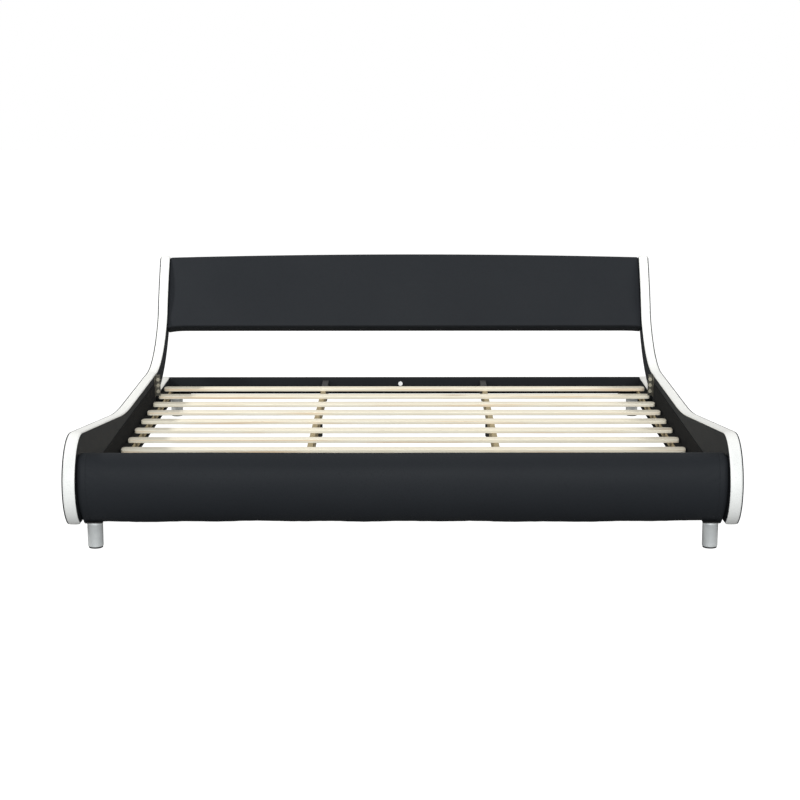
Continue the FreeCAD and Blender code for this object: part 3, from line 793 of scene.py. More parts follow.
@dataclass(frozen=True)
class Cloth(Finish):
    """Matt woven or non-woven cloth."""

    threads: float = 900.0

    def build(self) -> None:
        """Makes the material."""
        graph, shader = self.start()
        weave = use_effect(graph, Effect.WEAVE, Threads=self.threads)
        fuzzy = graph.spread(weave.outputs["Fuzz"], 0.35, 0.75, 0.0, 0.8)
        colour = graph.blend(fuzzy, self.colour, self.second)
        height = graph.math("ADD", weave.outputs["Height"], weave.outputs["Fuzz"])
        rough = graph.spread(weave.outputs["Fuzz"], 0.3, 0.7, self.roughness - 0.06, self.roughness + 0.06)
        self.close(graph, shader, colour, rough, height, 0.4, 0.0005)
        shader.inputs["Sheen Weight"].default_value = 0.02
        shader.inputs["Specular IOR Level"].default_value = 0.05


@dataclass(frozen=True)
class Timber(Finish):
    """Unvarnished wood with rings, fibre and knots.

    Attributes:
        rings: Ring bands in a metre.
        knot: The colour of the knots.
        contrast: How strongly the rings show.
        lengthwise: One for wood that runs along Y, zero for wood along X.
        edge: How strongly tan streaks of painted shade show on the front and rear faces.
    """

    rings: float = 55.0
    knot: Colour = (0.30, 0.17, 0.08, 1.0)
    contrast: float = 0.35
    lengthwise: float = 0.0
    edge: float = 0.0

    def build(self) -> None:
        """Makes the material."""
        graph, shader = self.start()
        wood = use_effect(graph, Effect.TIMBER, Rings=self.rings, Lengthwise=self.lengthwise)
        scuff = use_effect(graph, Effect.SCUFF, Amount=0.3)
        ring = graph.math("MULTIPLY", wood.outputs["Rings"], self.contrast)
        colour = graph.blend(ring, self.colour, self.second)
        colour = graph.blend(graph.spread(wood.outputs["Fibre"], 0.5, 0.8, 0.0, 0.35), colour, self.second)
        colour = graph.blend(graph.spread(wood.outputs["Tone"], 0.35, 0.7, 0.0, 0.3), colour, self.second)
        colour = graph.blend(graph.math("MULTIPLY", wood.outputs["Knots"], 0.7), colour, self.knot)
        # Painted shade: tan streaks on the faces that look forwards or backwards, standing in for the shade along
        # the slats' front edges.
        if self.edge:
            facing = graph.add("SeparateXYZ", {0: graph.add("NewGeometry").outputs["Normal"]}).outputs["Y"]
            upright = graph.spread(graph.math("ABSOLUTE", facing), 0.55, 0.8, 0.0, 1.0)
            flowing = graph.noise(graph.scaled(graph.coords(), (2.2, 7.0, 90.0)), 1.0, 3.0)
            painted_shade_streak = graph.spread(flowing, 0.5, 0.66, 0.0, self.edge)
            colour = graph.blend(graph.math("MULTIPLY", upright, painted_shade_streak), colour, (0.76, 0.52, 0.30, 1.0))
        matt = graph.spread(wood.outputs["Fibre"], 0.3, 0.8, self.roughness - 0.05, self.roughness + 0.08)
        rough = graph.math("ADD", matt, graph.math("MULTIPLY", scuff.outputs["Dust"], 0.1))
        self.close(graph, shader, colour, rough, wood.outputs["Fibre"], 0.25, 0.0004)


@dataclass(frozen=True)
class Metal(Finish):
    """Bare or coated metal.

    Attributes:
        metallic: One for bare metal, zero for a coat of paint.
        lines: How strongly drawn lines show.
    """

    metallic: float = 1.0
    lines: float = 0.6

    def build(self) -> None:
        """Makes the material."""
        graph, shader = self.start()
        brush = use_effect(graph, Effect.BRUSH, Lines=self.lines)
        scuff = use_effect(graph, Effect.SCUFF, Amount=0.4)
        cloudy = graph.spread(brush.outputs["Cloud"], 0.35, 0.7, 0.0, 0.6)
        colour = graph.blend(scuff.outputs["Scratch"], graph.blend(cloudy, self.colour, self.second), self.second)
        matt = graph.spread(brush.outputs["Lines"], 0.2, 0.6, self.roughness - 0.06, self.roughness + 0.08)
        rough = graph.math("ADD", matt, graph.math("MULTIPLY", scuff.outputs["Dust"], 0.2))
        self.close(graph, shader, colour, rough, brush.outputs["Lines"], 0.12, 0.0003)
        shader.inputs["Metallic"].default_value = self.metallic


@dataclass(frozen=True)
class Moulded(Finish):
    """Moulded plastic with a fine texture."""

    def build(self) -> None:
        """Makes the material."""
        graph, shader = self.start()
        scuff = use_effect(graph, Effect.SCUFF, Amount=0.4)
        speckle = graph.noise(graph.coords(), 1400.0, 2.0)
        colour = graph.blend(scuff.outputs["Dust"], self.colour, self.second)
        rough = graph.spread(speckle, 0.3, 0.7, self.roughness - 0.05, self.roughness + 0.05)
        self.close(graph, shader, colour, rough, speckle, 0.2, 0.0002)


def rgb(red: float, green: float, blue: float) -> Colour:
    """An opaque colour."""
    return red, green, blue, 1.0


BLACK_LEATHER = Leather("grained_black_leather", "black_leather", rgb(0.0200, 0.0222, 0.0258),
                        rgb(0.0258, 0.0282, 0.0318), 0.56)
# Painted shade: the back rail's leather is a darker copy of the black leather, standing in for the shade behind
# the slats.
SHADED_RAIL_LEATHER = Leather("plain_black_leather", "black_leather", rgb(0.0135, 0.0148, 0.0168),
                       rgb(0.0175, 0.0188, 0.0208), 0.6)
WHITE_LEATHER = Leather("smooth_white_leather", "white_leather", rgb(0.895, 0.90, 0.88),
                        rgb(0.855, 0.855, 0.83), 0.5, cell=800.0, depth=0.12, tone=0.25, gloss=0.4)
LINING = Cloth("lining_cloth", "black_lining", rgb(0.0042, 0.0044, 0.0046), rgb(0.0090, 0.0092, 0.0092), 0.85)
PINE = Timber("planed_pine", "pine", rgb(0.87, 0.825, 0.70), rgb(0.78, 0.69, 0.51), 0.62, rings=42.0, edge=0.6)
BATTEN = Timber("sawn_pine", "pine_batten", rgb(0.36, 0.30, 0.175), rgb(0.27, 0.20, 0.11), 0.7,
                contrast=0.5, lengthwise=1.0)
PLYWOOD = Timber("raw_plywood", "plywood", rgb(0.46, 0.33, 0.19), rgb(0.33, 0.21, 0.11), 0.7, rings=24.0)
SATIN_METAL = Metal("satin_tube", "satin_metal", rgb(0.81, 0.835, 0.835), rgb(0.71, 0.735, 0.735), 0.40,
                    metallic=0.45)
# Painted shade: a darkened copy of the zinc finish for the joint angles, which sit in shade; its cloudy mottling
# is the metal's own.
SHADED_ZINC = Metal("mottled_zinc", "zinc_steel", rgb(0.070, 0.067, 0.054), rgb(0.22, 0.21, 0.18), 0.42, metallic=0.8)
BRIGHT_ZINC = Metal("bright_zinc", "zinc_steel", rgb(0.62, 0.58, 0.46), rgb(0.42, 0.38, 0.30), 0.35,
                    metallic=0.8)
BLACK_METAL = Metal("black_powder_coat", "black_metal", rgb(0.020, 0.020, 0.020), rgb(0.040, 0.038, 0.034),
                    0.5, metallic=0.0)
BLACK_PLASTIC = Moulded("matt_black_plastic", "black_plastic", rgb(0.015, 0.015, 0.015),
                        rgb(0.05, 0.05, 0.048), 0.5)
WHITE_PLASTIC = Moulded("white_plug_plastic", "white_plastic", rgb(0.88, 0.88, 0.88), rgb(0.75, 0.75, 0.73),
                        0.35)


def finish_piece(piece: Piece, finish: Finish, replaced: Sequence[str] = ()) -> None:
    """Gives a new piece its material, lets it ride on the bed and stand for its CAD nodes."""
    piece.data.materials.clear()
    piece.data.materials.append(finish.material)
    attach(piece, ROOT)
    if replaced:
        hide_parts(*replaced)
    log.info("%s: %d faces", piece.name, len(piece.data.polygons))


def dress_node(node: Piece, finish: Finish, ease: float = 0.0) -> None:
    """Gives a CAD node a material and, where asked, eased edges from live modifiers.

    Args:
        node: The CAD node's object.
        finish: Its finish.
        ease: The width of the eased edges, or zero.
    """
    if not node.data.materials:
        node.data.materials.append(finish.material)
    for number in range(len(node.material_slots)):
        node.material_slots[number].material = finish.material
    if ease:
        node.modifiers.new("weld", "WELD").merge_threshold = 1e-5
        bevel = node.modifiers.new("ease", "BEVEL")
        bevel.width, bevel.segments, bevel.limit_method = ease, 2, "ANGLE"
        bevel.angle_limit = math.radians(35)
        bevel.harden_normals = True
    log.info("%s: CAD node in %s", node.name, finish.name)


# ---- sub-assemblies --------------------------------------------------------------------------------------


@dataclass
class SideProfile:
    """The outline of a side panel in the side plane, from the same few radii as the CAD.

    Attributes:
        foot: Y of the front of the roll.
        base: Height of the panel's foot.
    """

    foot: float
    base: float
    roll_radius: float = 0.146
    roll_centre: float = 0.213
    slope: float = math.radians(7.64)
    dip_radius: float = 1.960
    top: float = 0.242
    joint: float = 1.796
    joint_gap: float = 0.002
    neck_start: float = 1.828
    neck_radius: float = 0.485
    neck_turn: float = math.radians(45.4)
    bend_radius: float = 0.155
    bend_turn: float = math.radians(21.9)
    tip_radius: float = 0.948
    tip_turn: float = math.radians(14.6)
    depth: float = 0.085
    corner: float = 0.018
    notch: float = 1.880
    tail_top: float = 0.152
    tail_end: float = 2.232

    def y(self, station: float) -> float:
        """Y of a station."""
        return self.foot + station

    def rail_path(self, inset: float = 0.0) -> EdgePath:
        """The side rail's edge from its hem round the roll and along to the joint, moved in by an inset."""
        radius = self.roll_radius - inset
        hem = math.pi + math.asin((self.roll_centre - self.base) / radius)
        centre = (self.y(self.roll_radius), self.roll_centre)
        start = (centre[0] + radius * math.cos(hem), centre[1] + radius * math.sin(hem))
        path = EdgePath(start, hem - math.pi / 2)
        path.arc(radius, -(hem - math.pi / 2 + self.slope))
        fall = self.dip_radius * (1 - math.cos(self.slope))
        crest = self.roll_centre + self.roll_radius * math.cos(self.slope)
        path.line((crest - self.top - fall) / math.sin(self.slope))
        path.arc(self.dip_radius + inset, self.slope)
        return path.line(self.y(self.joint - self.joint_gap / 2) - float(path.point[0]))

    def neck_path(self, inset: float = 0.0, cap: bool = True) -> EdgePath:
        """The head end's front edge from the joint up the neck, and over its tip where asked."""
        start = (self.y(self.joint + self.joint_gap / 2), self.top - inset)
        path = EdgePath(start, 0.0).line(self.neck_start - self.joint - self.joint_gap / 2)
        path.arc(self.neck_radius + inset, self.neck_turn).arc(self.bend_radius + inset, self.bend_turn)
        path.arc(self.tip_radius - inset, -self.tip_turn)
        if cap:
            path.arc(self.corner - inset, -math.pi / 2).line(self.depth - 2 * self.corner)
        return path

    def rail_outline(self, inset: float) -> Array:
        """The side rail's closed outline inside its band."""
        points, _ = self.rail_path(inset).sample()
        return np.concatenate([points, [[points[-1, 0], self.base]]])

    def head_outline(self, inset: float) -> Array:
        """The head end's closed outline inside its bands, with the notch and the tail."""
        front, _ = self.neck_path(inset).sample()
        back = EdgePath((self.y(self.neck_start), self.top - self.depth), 0.0)
        back.arc(self.neck_radius + self.depth, self.neck_turn)
        back.arc(self.bend_radius + self.depth, self.bend_turn)
        back.arc(self.tip_radius - self.depth, -self.tip_turn)
        rear, _ = back.sample()
        rear = rear[rear[:, 0] > self.y(self.notch)][::-1]
        top = self.tail_top - inset
        reach = self.notch - self.neck_start
        height = self.top + self.neck_radius - math.sqrt((self.neck_radius + self.depth) ** 2 - reach**2)
        tail = [[self.y(self.notch), height], [self.y(self.notch), top], [self.y(self.tail_end), top],
                [self.y(self.tail_end), self.base], [self.y(self.joint + self.joint_gap / 2), self.base]]
        return np.concatenate([front, rear, tail])


def band_section(inner: float, outer: float, thickness: float, crown: float) -> Array:
    """A leather strip's section: a flat back, rounded edges and a slightly crowned face.

    Args:
        inner: The lower X.
        outer: The higher X.
        thickness: From the back to the face beside its edges.
        crown: The extra height in the middle.

    Returns:
        Rows of (X, height), with the face's edge at zero height.
    """
    half, middle = (outer - inner) / 2, (outer + inner) / 2
    share = np.linspace(-1, 1, 17)
    rounded = 1 - np.abs(share) ** 10
    face = np.stack([middle + share * half, -thickness * 0.45 * (1 - rounded) + crown * (1 - share**2)], -1)
    back = np.array([[outer, -thickness], [inner, -thickness]])
    return np.concatenate([face, back])


@dataclass
class SidePanels:
    """Both side panels: leather pads, linings and pale edge bands round plywood boards.

    Attributes:
        profile: Their outline.
        inner: Half the width between them.
        pad: The pads' thickness.
        board: The boards' thickness.
        band: The bands' thickness.
        gap: The clearance under a band.
        lip: How far the outer pad's edge lies under the band's outer face.
    """

    profile: SideProfile
    inner: float
    pad: float = 0.004
    board: float = 0.032
    band: float = 0.004
    gap: float = 0.0002
    lip: float = 0.0004
    face: PadShape = PadShape(0.0038, 0.0035, 0.0022, 0.03, 0.0009, 0.42, 0.014)
    lining: PadShape = PadShape(0.0040, 0.002, 0.0004, 0.02, 0.0005, 0.30, 0.016)

    def face_plane(self, side: Side, inward: bool) -> Plane:
        """The plane at the back of an inner or outer pad, looking away from the board."""
        x = self.inner + (self.pad if inward else self.pad + self.board)
        out = -side.value if inward else side.value
        return Plane((side.value * x, 0, 0), (0, 1, 0), (0, 0, 1), (out, 0, 0))

    def build(self) -> None:
        """Builds and dresses every piece of both panels."""
        inset = self.band + self.gap
        parts = {"rail": self.profile.rail_outline(inset), "wing": self.profile.head_outline(inset)}
        outer = {"rail": self.profile.rail_outline(self.lip), "wing": self.profile.head_outline(self.lip)}
        for side in Side:
            for part in parts:
                for inward in (True, False):
                    where = "inner" if inward else "outer"
                    node = f"{side.word}_{part}_{where}_pad"
                    seed = len(node) * 7 + side.value + inward * 3
                    outline, plane = (parts if inward else outer)[part], self.face_plane(side, inward)
                    piece = upholstered_pad(f"{node}_leather", outline, plane, self.face, seed)
                    finish_piece(piece, BLACK_LEATHER, [node])
            self.bands(side)
            self.lining_piece(side)

    def bands(self, side: Side) -> None:
        """The pale bands over one panel's edges."""
        width = self.pad + self.board
        low = self.inner if side is Side.RIGHT else -self.inner - width
        section = band_section(low, low + width, self.band, 0.0008)

        def lift(along: Array, x: Array) -> Array:
            """A slow unevenness of a third of a millimetre."""
            return 0.00035 * waves(along, x, 11 + side.value, 0.35)

        for part, path in (("rail", self.profile.rail_path()), ("wing", self.profile.neck_path())):
            piece = sweep_band(f"{side.word}_{part}_band_leather", path, section, lift)
            finish_piece(piece, WHITE_LEATHER, [f"{side.word}_{part}_band"])
        profile = self.profile
        tail = EdgePath((profile.y(profile.notch + self.band), profile.tail_top), 0.0)
        tail.line(profile.tail_end - profile.notch - self.band)
        piece = sweep_band(f"{side.word}_rear_band_leather", tail, section, lift)
        finish_piece(piece, WHITE_LEATHER, ["rear_bands"])

    def lining_piece(self, side: Side) -> None:
        """The dark lining over the lower part of one inner face."""
        node = f"{side.word}_rail_lining"
        low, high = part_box(node)
        outline = np.array([[low.y, low.z], [high.y, low.z], [high.y, high.z], [low.y, high.z]])
        plane = Plane((side.value * self.inner, 0, 0), (0, 1, 0), (0, 0, 1), (-side.value, 0, 0))
        piece = upholstered_pad(f"{node}_cloth", outline, plane, self.lining, 5 + side.value)
        finish_piece(piece, LINING, [node])


@dataclass
class Footboard:
    """The bowed padded footboard.

    Attributes:
        profile: Gives stations their Y.
        half: Half its width.
    """

    profile: SideProfile
    half: float
    face_radius: float = 0.153
    face_centre: Point = (0.178, 0.222)
    crest_radius: float = 0.0475
    back: float = 0.128
    pad: float = 0.018
    hem: float = math.radians(63)
    end_round: float = 0.016
    seam_from_end: float = 0.026
    tuck: float = 0.010
    tuck_width: float = 0.007
    blown: float = 0.003

    def section(self, inset: float, steps: tuple[int, int]) -> tuple[Array, Array]:
        """The section's curve from hem to back, with its outward normals.

        It is an arc about the face's centre, then one about the crest's centre that it meets without a kink.

        Args:
            inset: How far inside the outer face the curve lies.
            steps: Points on the face and on the crest.

        Returns:
            Positions (Y, Z) and unit normals.
        """
        across = self.face_centre[0] - (self.back - self.crest_radius)
        apart = self.face_radius - self.crest_radius
        rise = math.acos(across / apart)
        crest = (self.face_centre[0] - across, self.face_centre[1] + apart * math.sin(rise))
        face = np.linspace(math.pi + self.hem, math.pi - rise, steps[0])
        top = np.linspace(math.pi - rise, 0, steps[1])[1:]
        spokes = [np.stack([np.cos(a), np.sin(a)], -1) for a in (face, top)]
        points = np.concatenate([np.asarray(self.face_centre) + spokes[0] * (self.face_radius - inset),
                                 np.asarray(crest) + spokes[1] * (self.crest_radius - inset)])
        points[:, 0] += self.profile.foot
        return points, np.concatenate(spokes)

    @staticmethod
    def groove(piece: Piece, seam: Array, shape: tuple[int, ...], normals: Array) -> None:
        """Draws the seams in after the simulation: a skin point moves inwards by its section's seam depth."""
        points = np.empty(shape[0] * shape[1] * 3)
        piece.data.vertices.foreach_get("co", points)
        points = points.reshape(shape[0], shape[1], 3)
        skin = points[:, : len(normals), 1:]
        skin -= normals[None] * seam[:, None, None]
        piece.data.vertices.foreach_set("co", points.ravel())
        piece.data.update()

    def build(self) -> None:
        """Builds the leather pad as sections along X whose skin is drawn in at the ends and ripples slightly.

        The skin's offset is the rounded end end_round - sqrt(end_round^2 - (end_round - e)^2), with e the
        distance to the end, plus a groove at the seam and a ripple that grows towards the hem.
        """
        steps = (46, 22)
        outer, normals = self.section(0.0, steps)
        inner, _ = self.section(self.pad, steps)
        distance = np.concatenate([[0], np.cumsum(np.linalg.norm(np.diff(outer, axis=0), axis=1))])
        near_end, beside_seam = [0, 0.0004, 0.0014, 0.003], np.arange(0.005, 0.031, 0.0014)
        steps_in = np.concatenate([near_end, beside_seam, [0.036, 0.044, 0.055]])
        ends = self.half - steps_in
        x = np.concatenate([-ends, np.linspace(-ends[-1], ends[-1], 150)[1:-1], ends[::-1]])
        to_end = np.minimum(self.half - np.abs(x), self.end_round)
        drawn = self.end_round - np.sqrt(np.maximum(self.end_round**2 - (self.end_round - to_end) ** 2, 0))
        seam = 0.0011 * np.exp(-(((self.half - np.abs(x)) - self.seam_from_end) / 0.0016) ** 2)
        low = 1 - distance / distance[-1]
        fade = np.clip((self.half - np.abs(x)) / 0.06, 0, 1)[:, None]
        ripple = waves(x[:, None], distance[None] * 0.6, 21, 0.75) * (0.0009 + 0.0038 * low[None] ** 4) * fade
        pucker = 0.0007 * waves(x[:, None], distance[None], 33, 0.09) * (low[None] ** 6 + 0.15) * fade
        offset = -drawn[:, None] + ripple + pucker
        skin = outer[None] + normals[None] * offset[..., None]
        lining = np.broadcast_to(inner[None, ::-1], (len(x), *inner.shape))
        ring = np.concatenate([skin, lining], 1)
        share = np.concatenate([low, low[::-1]])[None] ** 12
        ring[..., 1] -= self.tuck * share * np.clip(
            1 - np.abs(self.half - np.abs(x) - self.tuck_width) / self.tuck_width, 0, 1)[:, None]
        sections = np.concatenate([np.broadcast_to(x[:, None, None], (*ring.shape[:2], 1)), ring], -1)
        piece = loft("footboard_leather", sections, sharp_deg=55.0)
        free = np.concatenate([np.sin(np.pi * (1 - low)) ** 0.5, np.zeros_like(low)])[None] * np.clip(
            (self.half - np.abs(x) - 0.01) / 0.02, 0, 1)[:, None]
        inflate(piece, free.ravel(), self.blown)
        self.groove(piece, seam, ring.shape, normals)
        finish_piece(piece, BLACK_LEATHER, ["footboard_pad"])


@dataclass
class Headboard:
    """The leaning headboard panel: a padded leather face, a hidden board and a cloth-covered back."""

    profile: SideProfile
    half: float
    lean: float = math.radians(29)
    foot_station: float = 2.186
    foot_height: float = 0.378
    height: float = 0.302
    crown: float = 0.014
    pad: float = 0.025
    board: float = 0.025
    cover: float = 0.014
    skin: float = 0.0016
    blown: float = 0.005
    sag: Point = (0.007, 0.003)
    rise: float = 0.007

    def plane(self, depth: float, forward: bool) -> Plane:
        """The plane at a depth behind the panel's face, looking forwards or backwards."""
        out = np.array([0.0, -math.cos(self.lean), math.sin(self.lean)])
        origin = np.array([0.0, self.profile.y(self.foot_station), self.foot_height]) - out * depth
        facing = out if forward else -out
        return Plane(tuple(origin), (1, 0, 0), (0, math.sin(self.lean), math.cos(self.lean)), tuple(facing))

    def outline(self, grow: float, foot_corner: float, top_corner: float, sag: Point,
                rise: float = 0.0) -> Array:
        """The panel's outline: a top that rises to the middle, rounded corners and lower corners that dip.

        With e the distance to the nearer end, the foot is at -grow - sag * exp(-(e / 0.03)^1.5) and the top at
        height + grow + rise + crown * (1 - (x / half)^2).

        Args:
            grow: How far it lies outside the board's outline.
            foot_corner: The lower corners' radius.
            top_corner: The upper corners' radius.
            sag: How far the left and the right lower corner dip.
            rise: How much higher the top is than the board's.

        Returns:
            Rows of (X, distance up the panel), counter-clockwise.
        """
        half = self.half + grow
        turn = np.linspace(0, np.pi / 2, 7)[1:-1]

        def foot_height(x: Array) -> Array:
            """The foot's height at an X."""
            depth = np.where(x < 0, *sag)
            return -grow - depth * np.exp(-(((half - np.abs(x)) / 0.03) ** 1.5))

        low_x = np.concatenate([np.linspace(0, 0.9, 30), np.linspace(0.9, half - foot_corner, 24)[1:]])
        low_x = np.concatenate([-low_x[:0:-1], low_x])
        top_x = np.linspace(half - top_corner, top_corner - half, 90)
        foot = np.stack([low_x, foot_height(low_x)], -1)
        crown = self.height + grow + rise + self.crown * (1 - (top_x / self.half) ** 2)
        top = np.stack([top_x, crown], -1)
        sine, cosine = np.sin(turn), np.cos(turn)
        right_foot = np.stack([low_x[-1] + foot_corner * sine, foot[-1, 1] + foot_corner * (1 - cosine)], -1)
        left_foot = np.stack([low_x[0] - foot_corner * cosine, foot[0, 1] + foot_corner * (1 - sine)], -1)
        right_top = np.stack([top_x[0] + top_corner * cosine, top[0, 1] - top_corner * (1 - sine)], -1)
        left_top = right_top[::-1] * (-1, 1)
        return np.concatenate([foot, right_foot, right_top, top, left_top, left_foot])

    def build(self) -> None:
        """Builds the leather that wraps the face and the edges, and the cloth over the back."""
        face = PadShape(self.pad, 0.008, 0.003, 0.05, 0.0012, 0.75, 0.016)
        depth = self.board + self.cover - 0.002
        edge = 0.0012
        skirt = [(0.0, edge - depth), (0.3 * edge, 0.3 * edge - depth), (edge, -depth), (self.skin, -depth),
                 (self.skin, 0.0)]
        outline = self.outline(self.skin, 0.005, 0.010, self.sag, self.rise)
        plane = self.plane(self.pad, True)
        piece = upholstered_pad("headboard_leather", outline, plane, face, 41, skirt, self.blown)
        finish_piece(piece, BLACK_LEATHER, ["headboard_pad"])
        back = PadShape(self.cover, 0.004, 0.002, 0.06, 0.001, 0.5, 0.03)
        depth = self.pad + self.board
        outline = self.outline(-0.0004, 0.004, 0.009, (0.0, 0.0))
        piece = upholstered_pad("headboard_back_cloth", outline, self.plane(depth, False), back, 43)
        finish_piece(piece, LINING, ["headboard_back_cover"])


@dataclass
class BackRail:
    """The low rail across the head end, wrapped in leather."""

    skin: float = 0.002
    edge: float = 0.005

    def build(self) -> None:
        """Builds the wrap as one folded section along X, with a slight ripple on its faces."""
        low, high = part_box("back_rail_cover")
        quarter = np.linspace(0, np.pi / 2, 5)

        def fold(inset: float) -> Array:
            """The section's line from the front hem over the top to the rear hem."""
            radius = self.edge - inset
            y0, y1, z1 = low.y + inset, high.y - inset, high.z - inset
            front = np.stack([y0 + radius * (1 - np.cos(quarter)), z1 - radius * (1 - np.sin(quarter))], -1)
            rear = np.stack([y1 - radius * (1 - np.sin(quarter)), z1 - radius * (1 - np.cos(quarter))], -1)
            middle = (low.z + z1) / 2
            return np.concatenate([[[y0, low.z], [y0, middle]], front, rear, [[y1, middle], [y1, low.z]]])

        outer, inner = fold(0.0), fold(self.skin)
        x = np.linspace(low.x, high.x, 140)
        ring = np.broadcast_to(np.concatenate([outer, inner[::-1]])[None], (len(x), len(outer) * 2, 2)).copy()
        ripple = waves(x[:, None], outer[None, :, 1], 51, 0.5) * 0.0006
        ring[:, : len(outer), 0] -= ripple * np.sign(high.y - low.y)
        sections = np.concatenate([np.broadcast_to(x[:, None, None], (*ring.shape[:2], 1)), ring], -1)
        piece = loft("back_rail_leather", sections)
        # The rail's darker leather is painted shade, not a different leather.
        finish_piece(piece, SHADED_RAIL_LEATHER, ["back_rail_cover"])


@dataclass
class SlatDeck:
    """The pine slats and the two centre beams under them."""

    corner: float = 0.012
    ease: float = 0.0018

    def bar(self, name: str, low: Vector, high: Vector, along_x: bool, corner: float, ease: float, warp: float,
            seed: int) -> Piece:
        """A long bar with eased edges, rounded ends seen from above and a slight warp.

        The half width at a distance e from an end is width / 2 - corner + sqrt(corner^2 - (corner - e)^2).

        Args:
            name: The piece's name.
            low: The bar's lowest corner.
            high: Its highest corner.
            along_x: Whether it runs along X rather than Y.
            corner: The radius of its ends' corners.
            ease: The radius of its long edges.
            warp: How far it strays from straight.
            seed: Chooses the warp.

        Returns:
            The closed bar.
        """
        axis = 0 if along_x else 1
        length, width, height = high[axis] - low[axis], high[1 - axis] - low[1 - axis], high.z - low.z
        near = corner * (1 - np.cos(np.linspace(0, np.pi / 2, 7)))
        run = np.concatenate([near, np.linspace(corner, length - corner, 60)[1:-1], length - near[::-1]])
        to_end = np.minimum(np.minimum(run, length - run), corner)
        narrowed = width - 2 * (corner - np.sqrt(np.maximum(corner**2 - (corner - to_end) ** 2, 0)))
        outline = rounded_rectangle(1.0, height, ease, 3)
        side = np.sign(outline[:, 0])
        rest = np.abs(outline[:, 0]) - (0.5 - ease)
        across = side * (np.maximum(narrowed[:, None] / 2 - ease, 0) + rest)
        bend = warp * waves(run, np.full_like(run, 0.3 * seed), seed, 1.6, 3)
        fade = np.sin(np.pi * run / length)
        centre = (low[1 - axis] + high[1 - axis]) / 2 + bend * fade
        middle = (low.z + high.z) / 2
        sections = np.empty((len(run), len(outline), 3))
        sections[..., axis] = (low[axis] + run)[:, None]
        sections[..., 1 - axis] = centre[:, None] + across
        sections[..., 2] = middle + outline[:, 1]
        return loft(name, sections, sharp_deg=35.0)

    def build(self, nodes: dict[str, Piece]) -> None:
        """Builds every slat and both beams from the boxes of their CAD nodes."""
        for number, node in enumerate(sorted(n for n in nodes if n.startswith("slat_"))):
            low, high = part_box(node)
            piece = self.bar(f"{node}_pine", low, high, True, self.corner, self.ease, 0.0009, 61 + number)
            finish_piece(piece, PINE, [node])
        for side in Side:
            node = f"{side.word}_centre_beam"
            low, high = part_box(node)
            piece = self.bar(f"{node}_timber", low, high, False, 0.001, 0.002, 0.0, 5)
            finish_piece(piece, BATTEN, [node])


@dataclass
class Legs:
    """The metal corner legs and the posts under the centre beams.

    Attributes:
        lip: The radius of a corner leg's foot edge.
        taper: How much thinner a corner leg is at its foot.
        collar: The height of the collar at its top, with the step in its radius.
        bore: The radius of the small flat that closes a leg's ends.
        thread_top: Height of the end of a post's threaded foot above its glide.
        nut_top: Height of the top of the nut over the thread.
        pitch: The thread's pitch.
        ease: The rounding of a post's cap.
    """

    lip: float = 0.003
    taper: float = 0.001
    collar: Point = (0.006, 0.0006)
    bore: float = 0.004
    thread_top: float = 0.016
    nut_top: float = 0.026
    pitch: float = 0.002
    ease: float = 0.0015

    def corner_leg(self, node: str) -> None:
        """A corner leg: a slightly tapered tube with a rounded foot and a thin collar at its top."""
        low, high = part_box(node)
        centre, top = ((low.x + high.x) / 2, (low.y + high.y) / 2), (high.x - low.x) / 2
        foot, lip = top - self.taper, self.lip
        turn = np.linspace(0, np.pi / 2, 6)
        rounded = np.stack([foot - lip + lip * np.sin(turn), low.z + lip * (1 - np.cos(turn))], -1)
        rim = [[self.bore, low.z], [foot - lip - 0.003, low.z]]
        height, step = self.collar
        collar = [[top - step, high.z - height], [top, high.z - height + 0.0005], [top, high.z],
                  [self.bore, high.z]]
        profile = np.concatenate([rim, rounded, collar])
        piece = lathe(f"{node}_tube", profile, centre)
        finish_piece(piece, SATIN_METAL, [node])

    def centre_leg(self, node: str) -> None:
        """A centre leg: a post with a threaded foot, a tube above it and an eased cap."""
        low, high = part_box(node)
        centre, tube = ((low.x + high.x) / 2, (low.y + high.y) / 2), (high.x - low.x) / 2
        thread, collar, ease = low.z + self.thread_top, low.z + self.nut_top, self.ease
        levels = np.linspace(low.z + 0.001, thread, 32)
        screw = tube - 0.004 - 0.0006 * np.cos((levels - low.z) * 2 * np.pi / self.pitch)
        rim = [[0.003, low.z], [tube - 0.0055, low.z]]
        top = [[tube - 0.0008, thread + 0.0002], [tube - 0.0002, thread + 0.001], [tube - 0.0002, collar],
               [tube - 0.0008, collar + 0.0004], [tube - 0.0006, collar + 0.001], [tube, collar + 0.002],
               [tube, high.z - ease], [tube - 0.3 * ease, high.z - 0.3 * ease], [tube - ease, high.z],
               [0.003, high.z]]
        profile = np.concatenate([rim, np.stack([screw, levels], -1), top])
        piece = lathe(f"{node}_post", profile, centre, 48)
        finish_piece(piece, BLACK_METAL, [node])

    def build(self) -> None:
        """Builds all six legs."""
        for side in Side:
            for end in ("front", "rear"):
                self.corner_leg(f"{side.word}_{end}_leg")
            self.centre_leg(f"{side.word}_centre_leg")


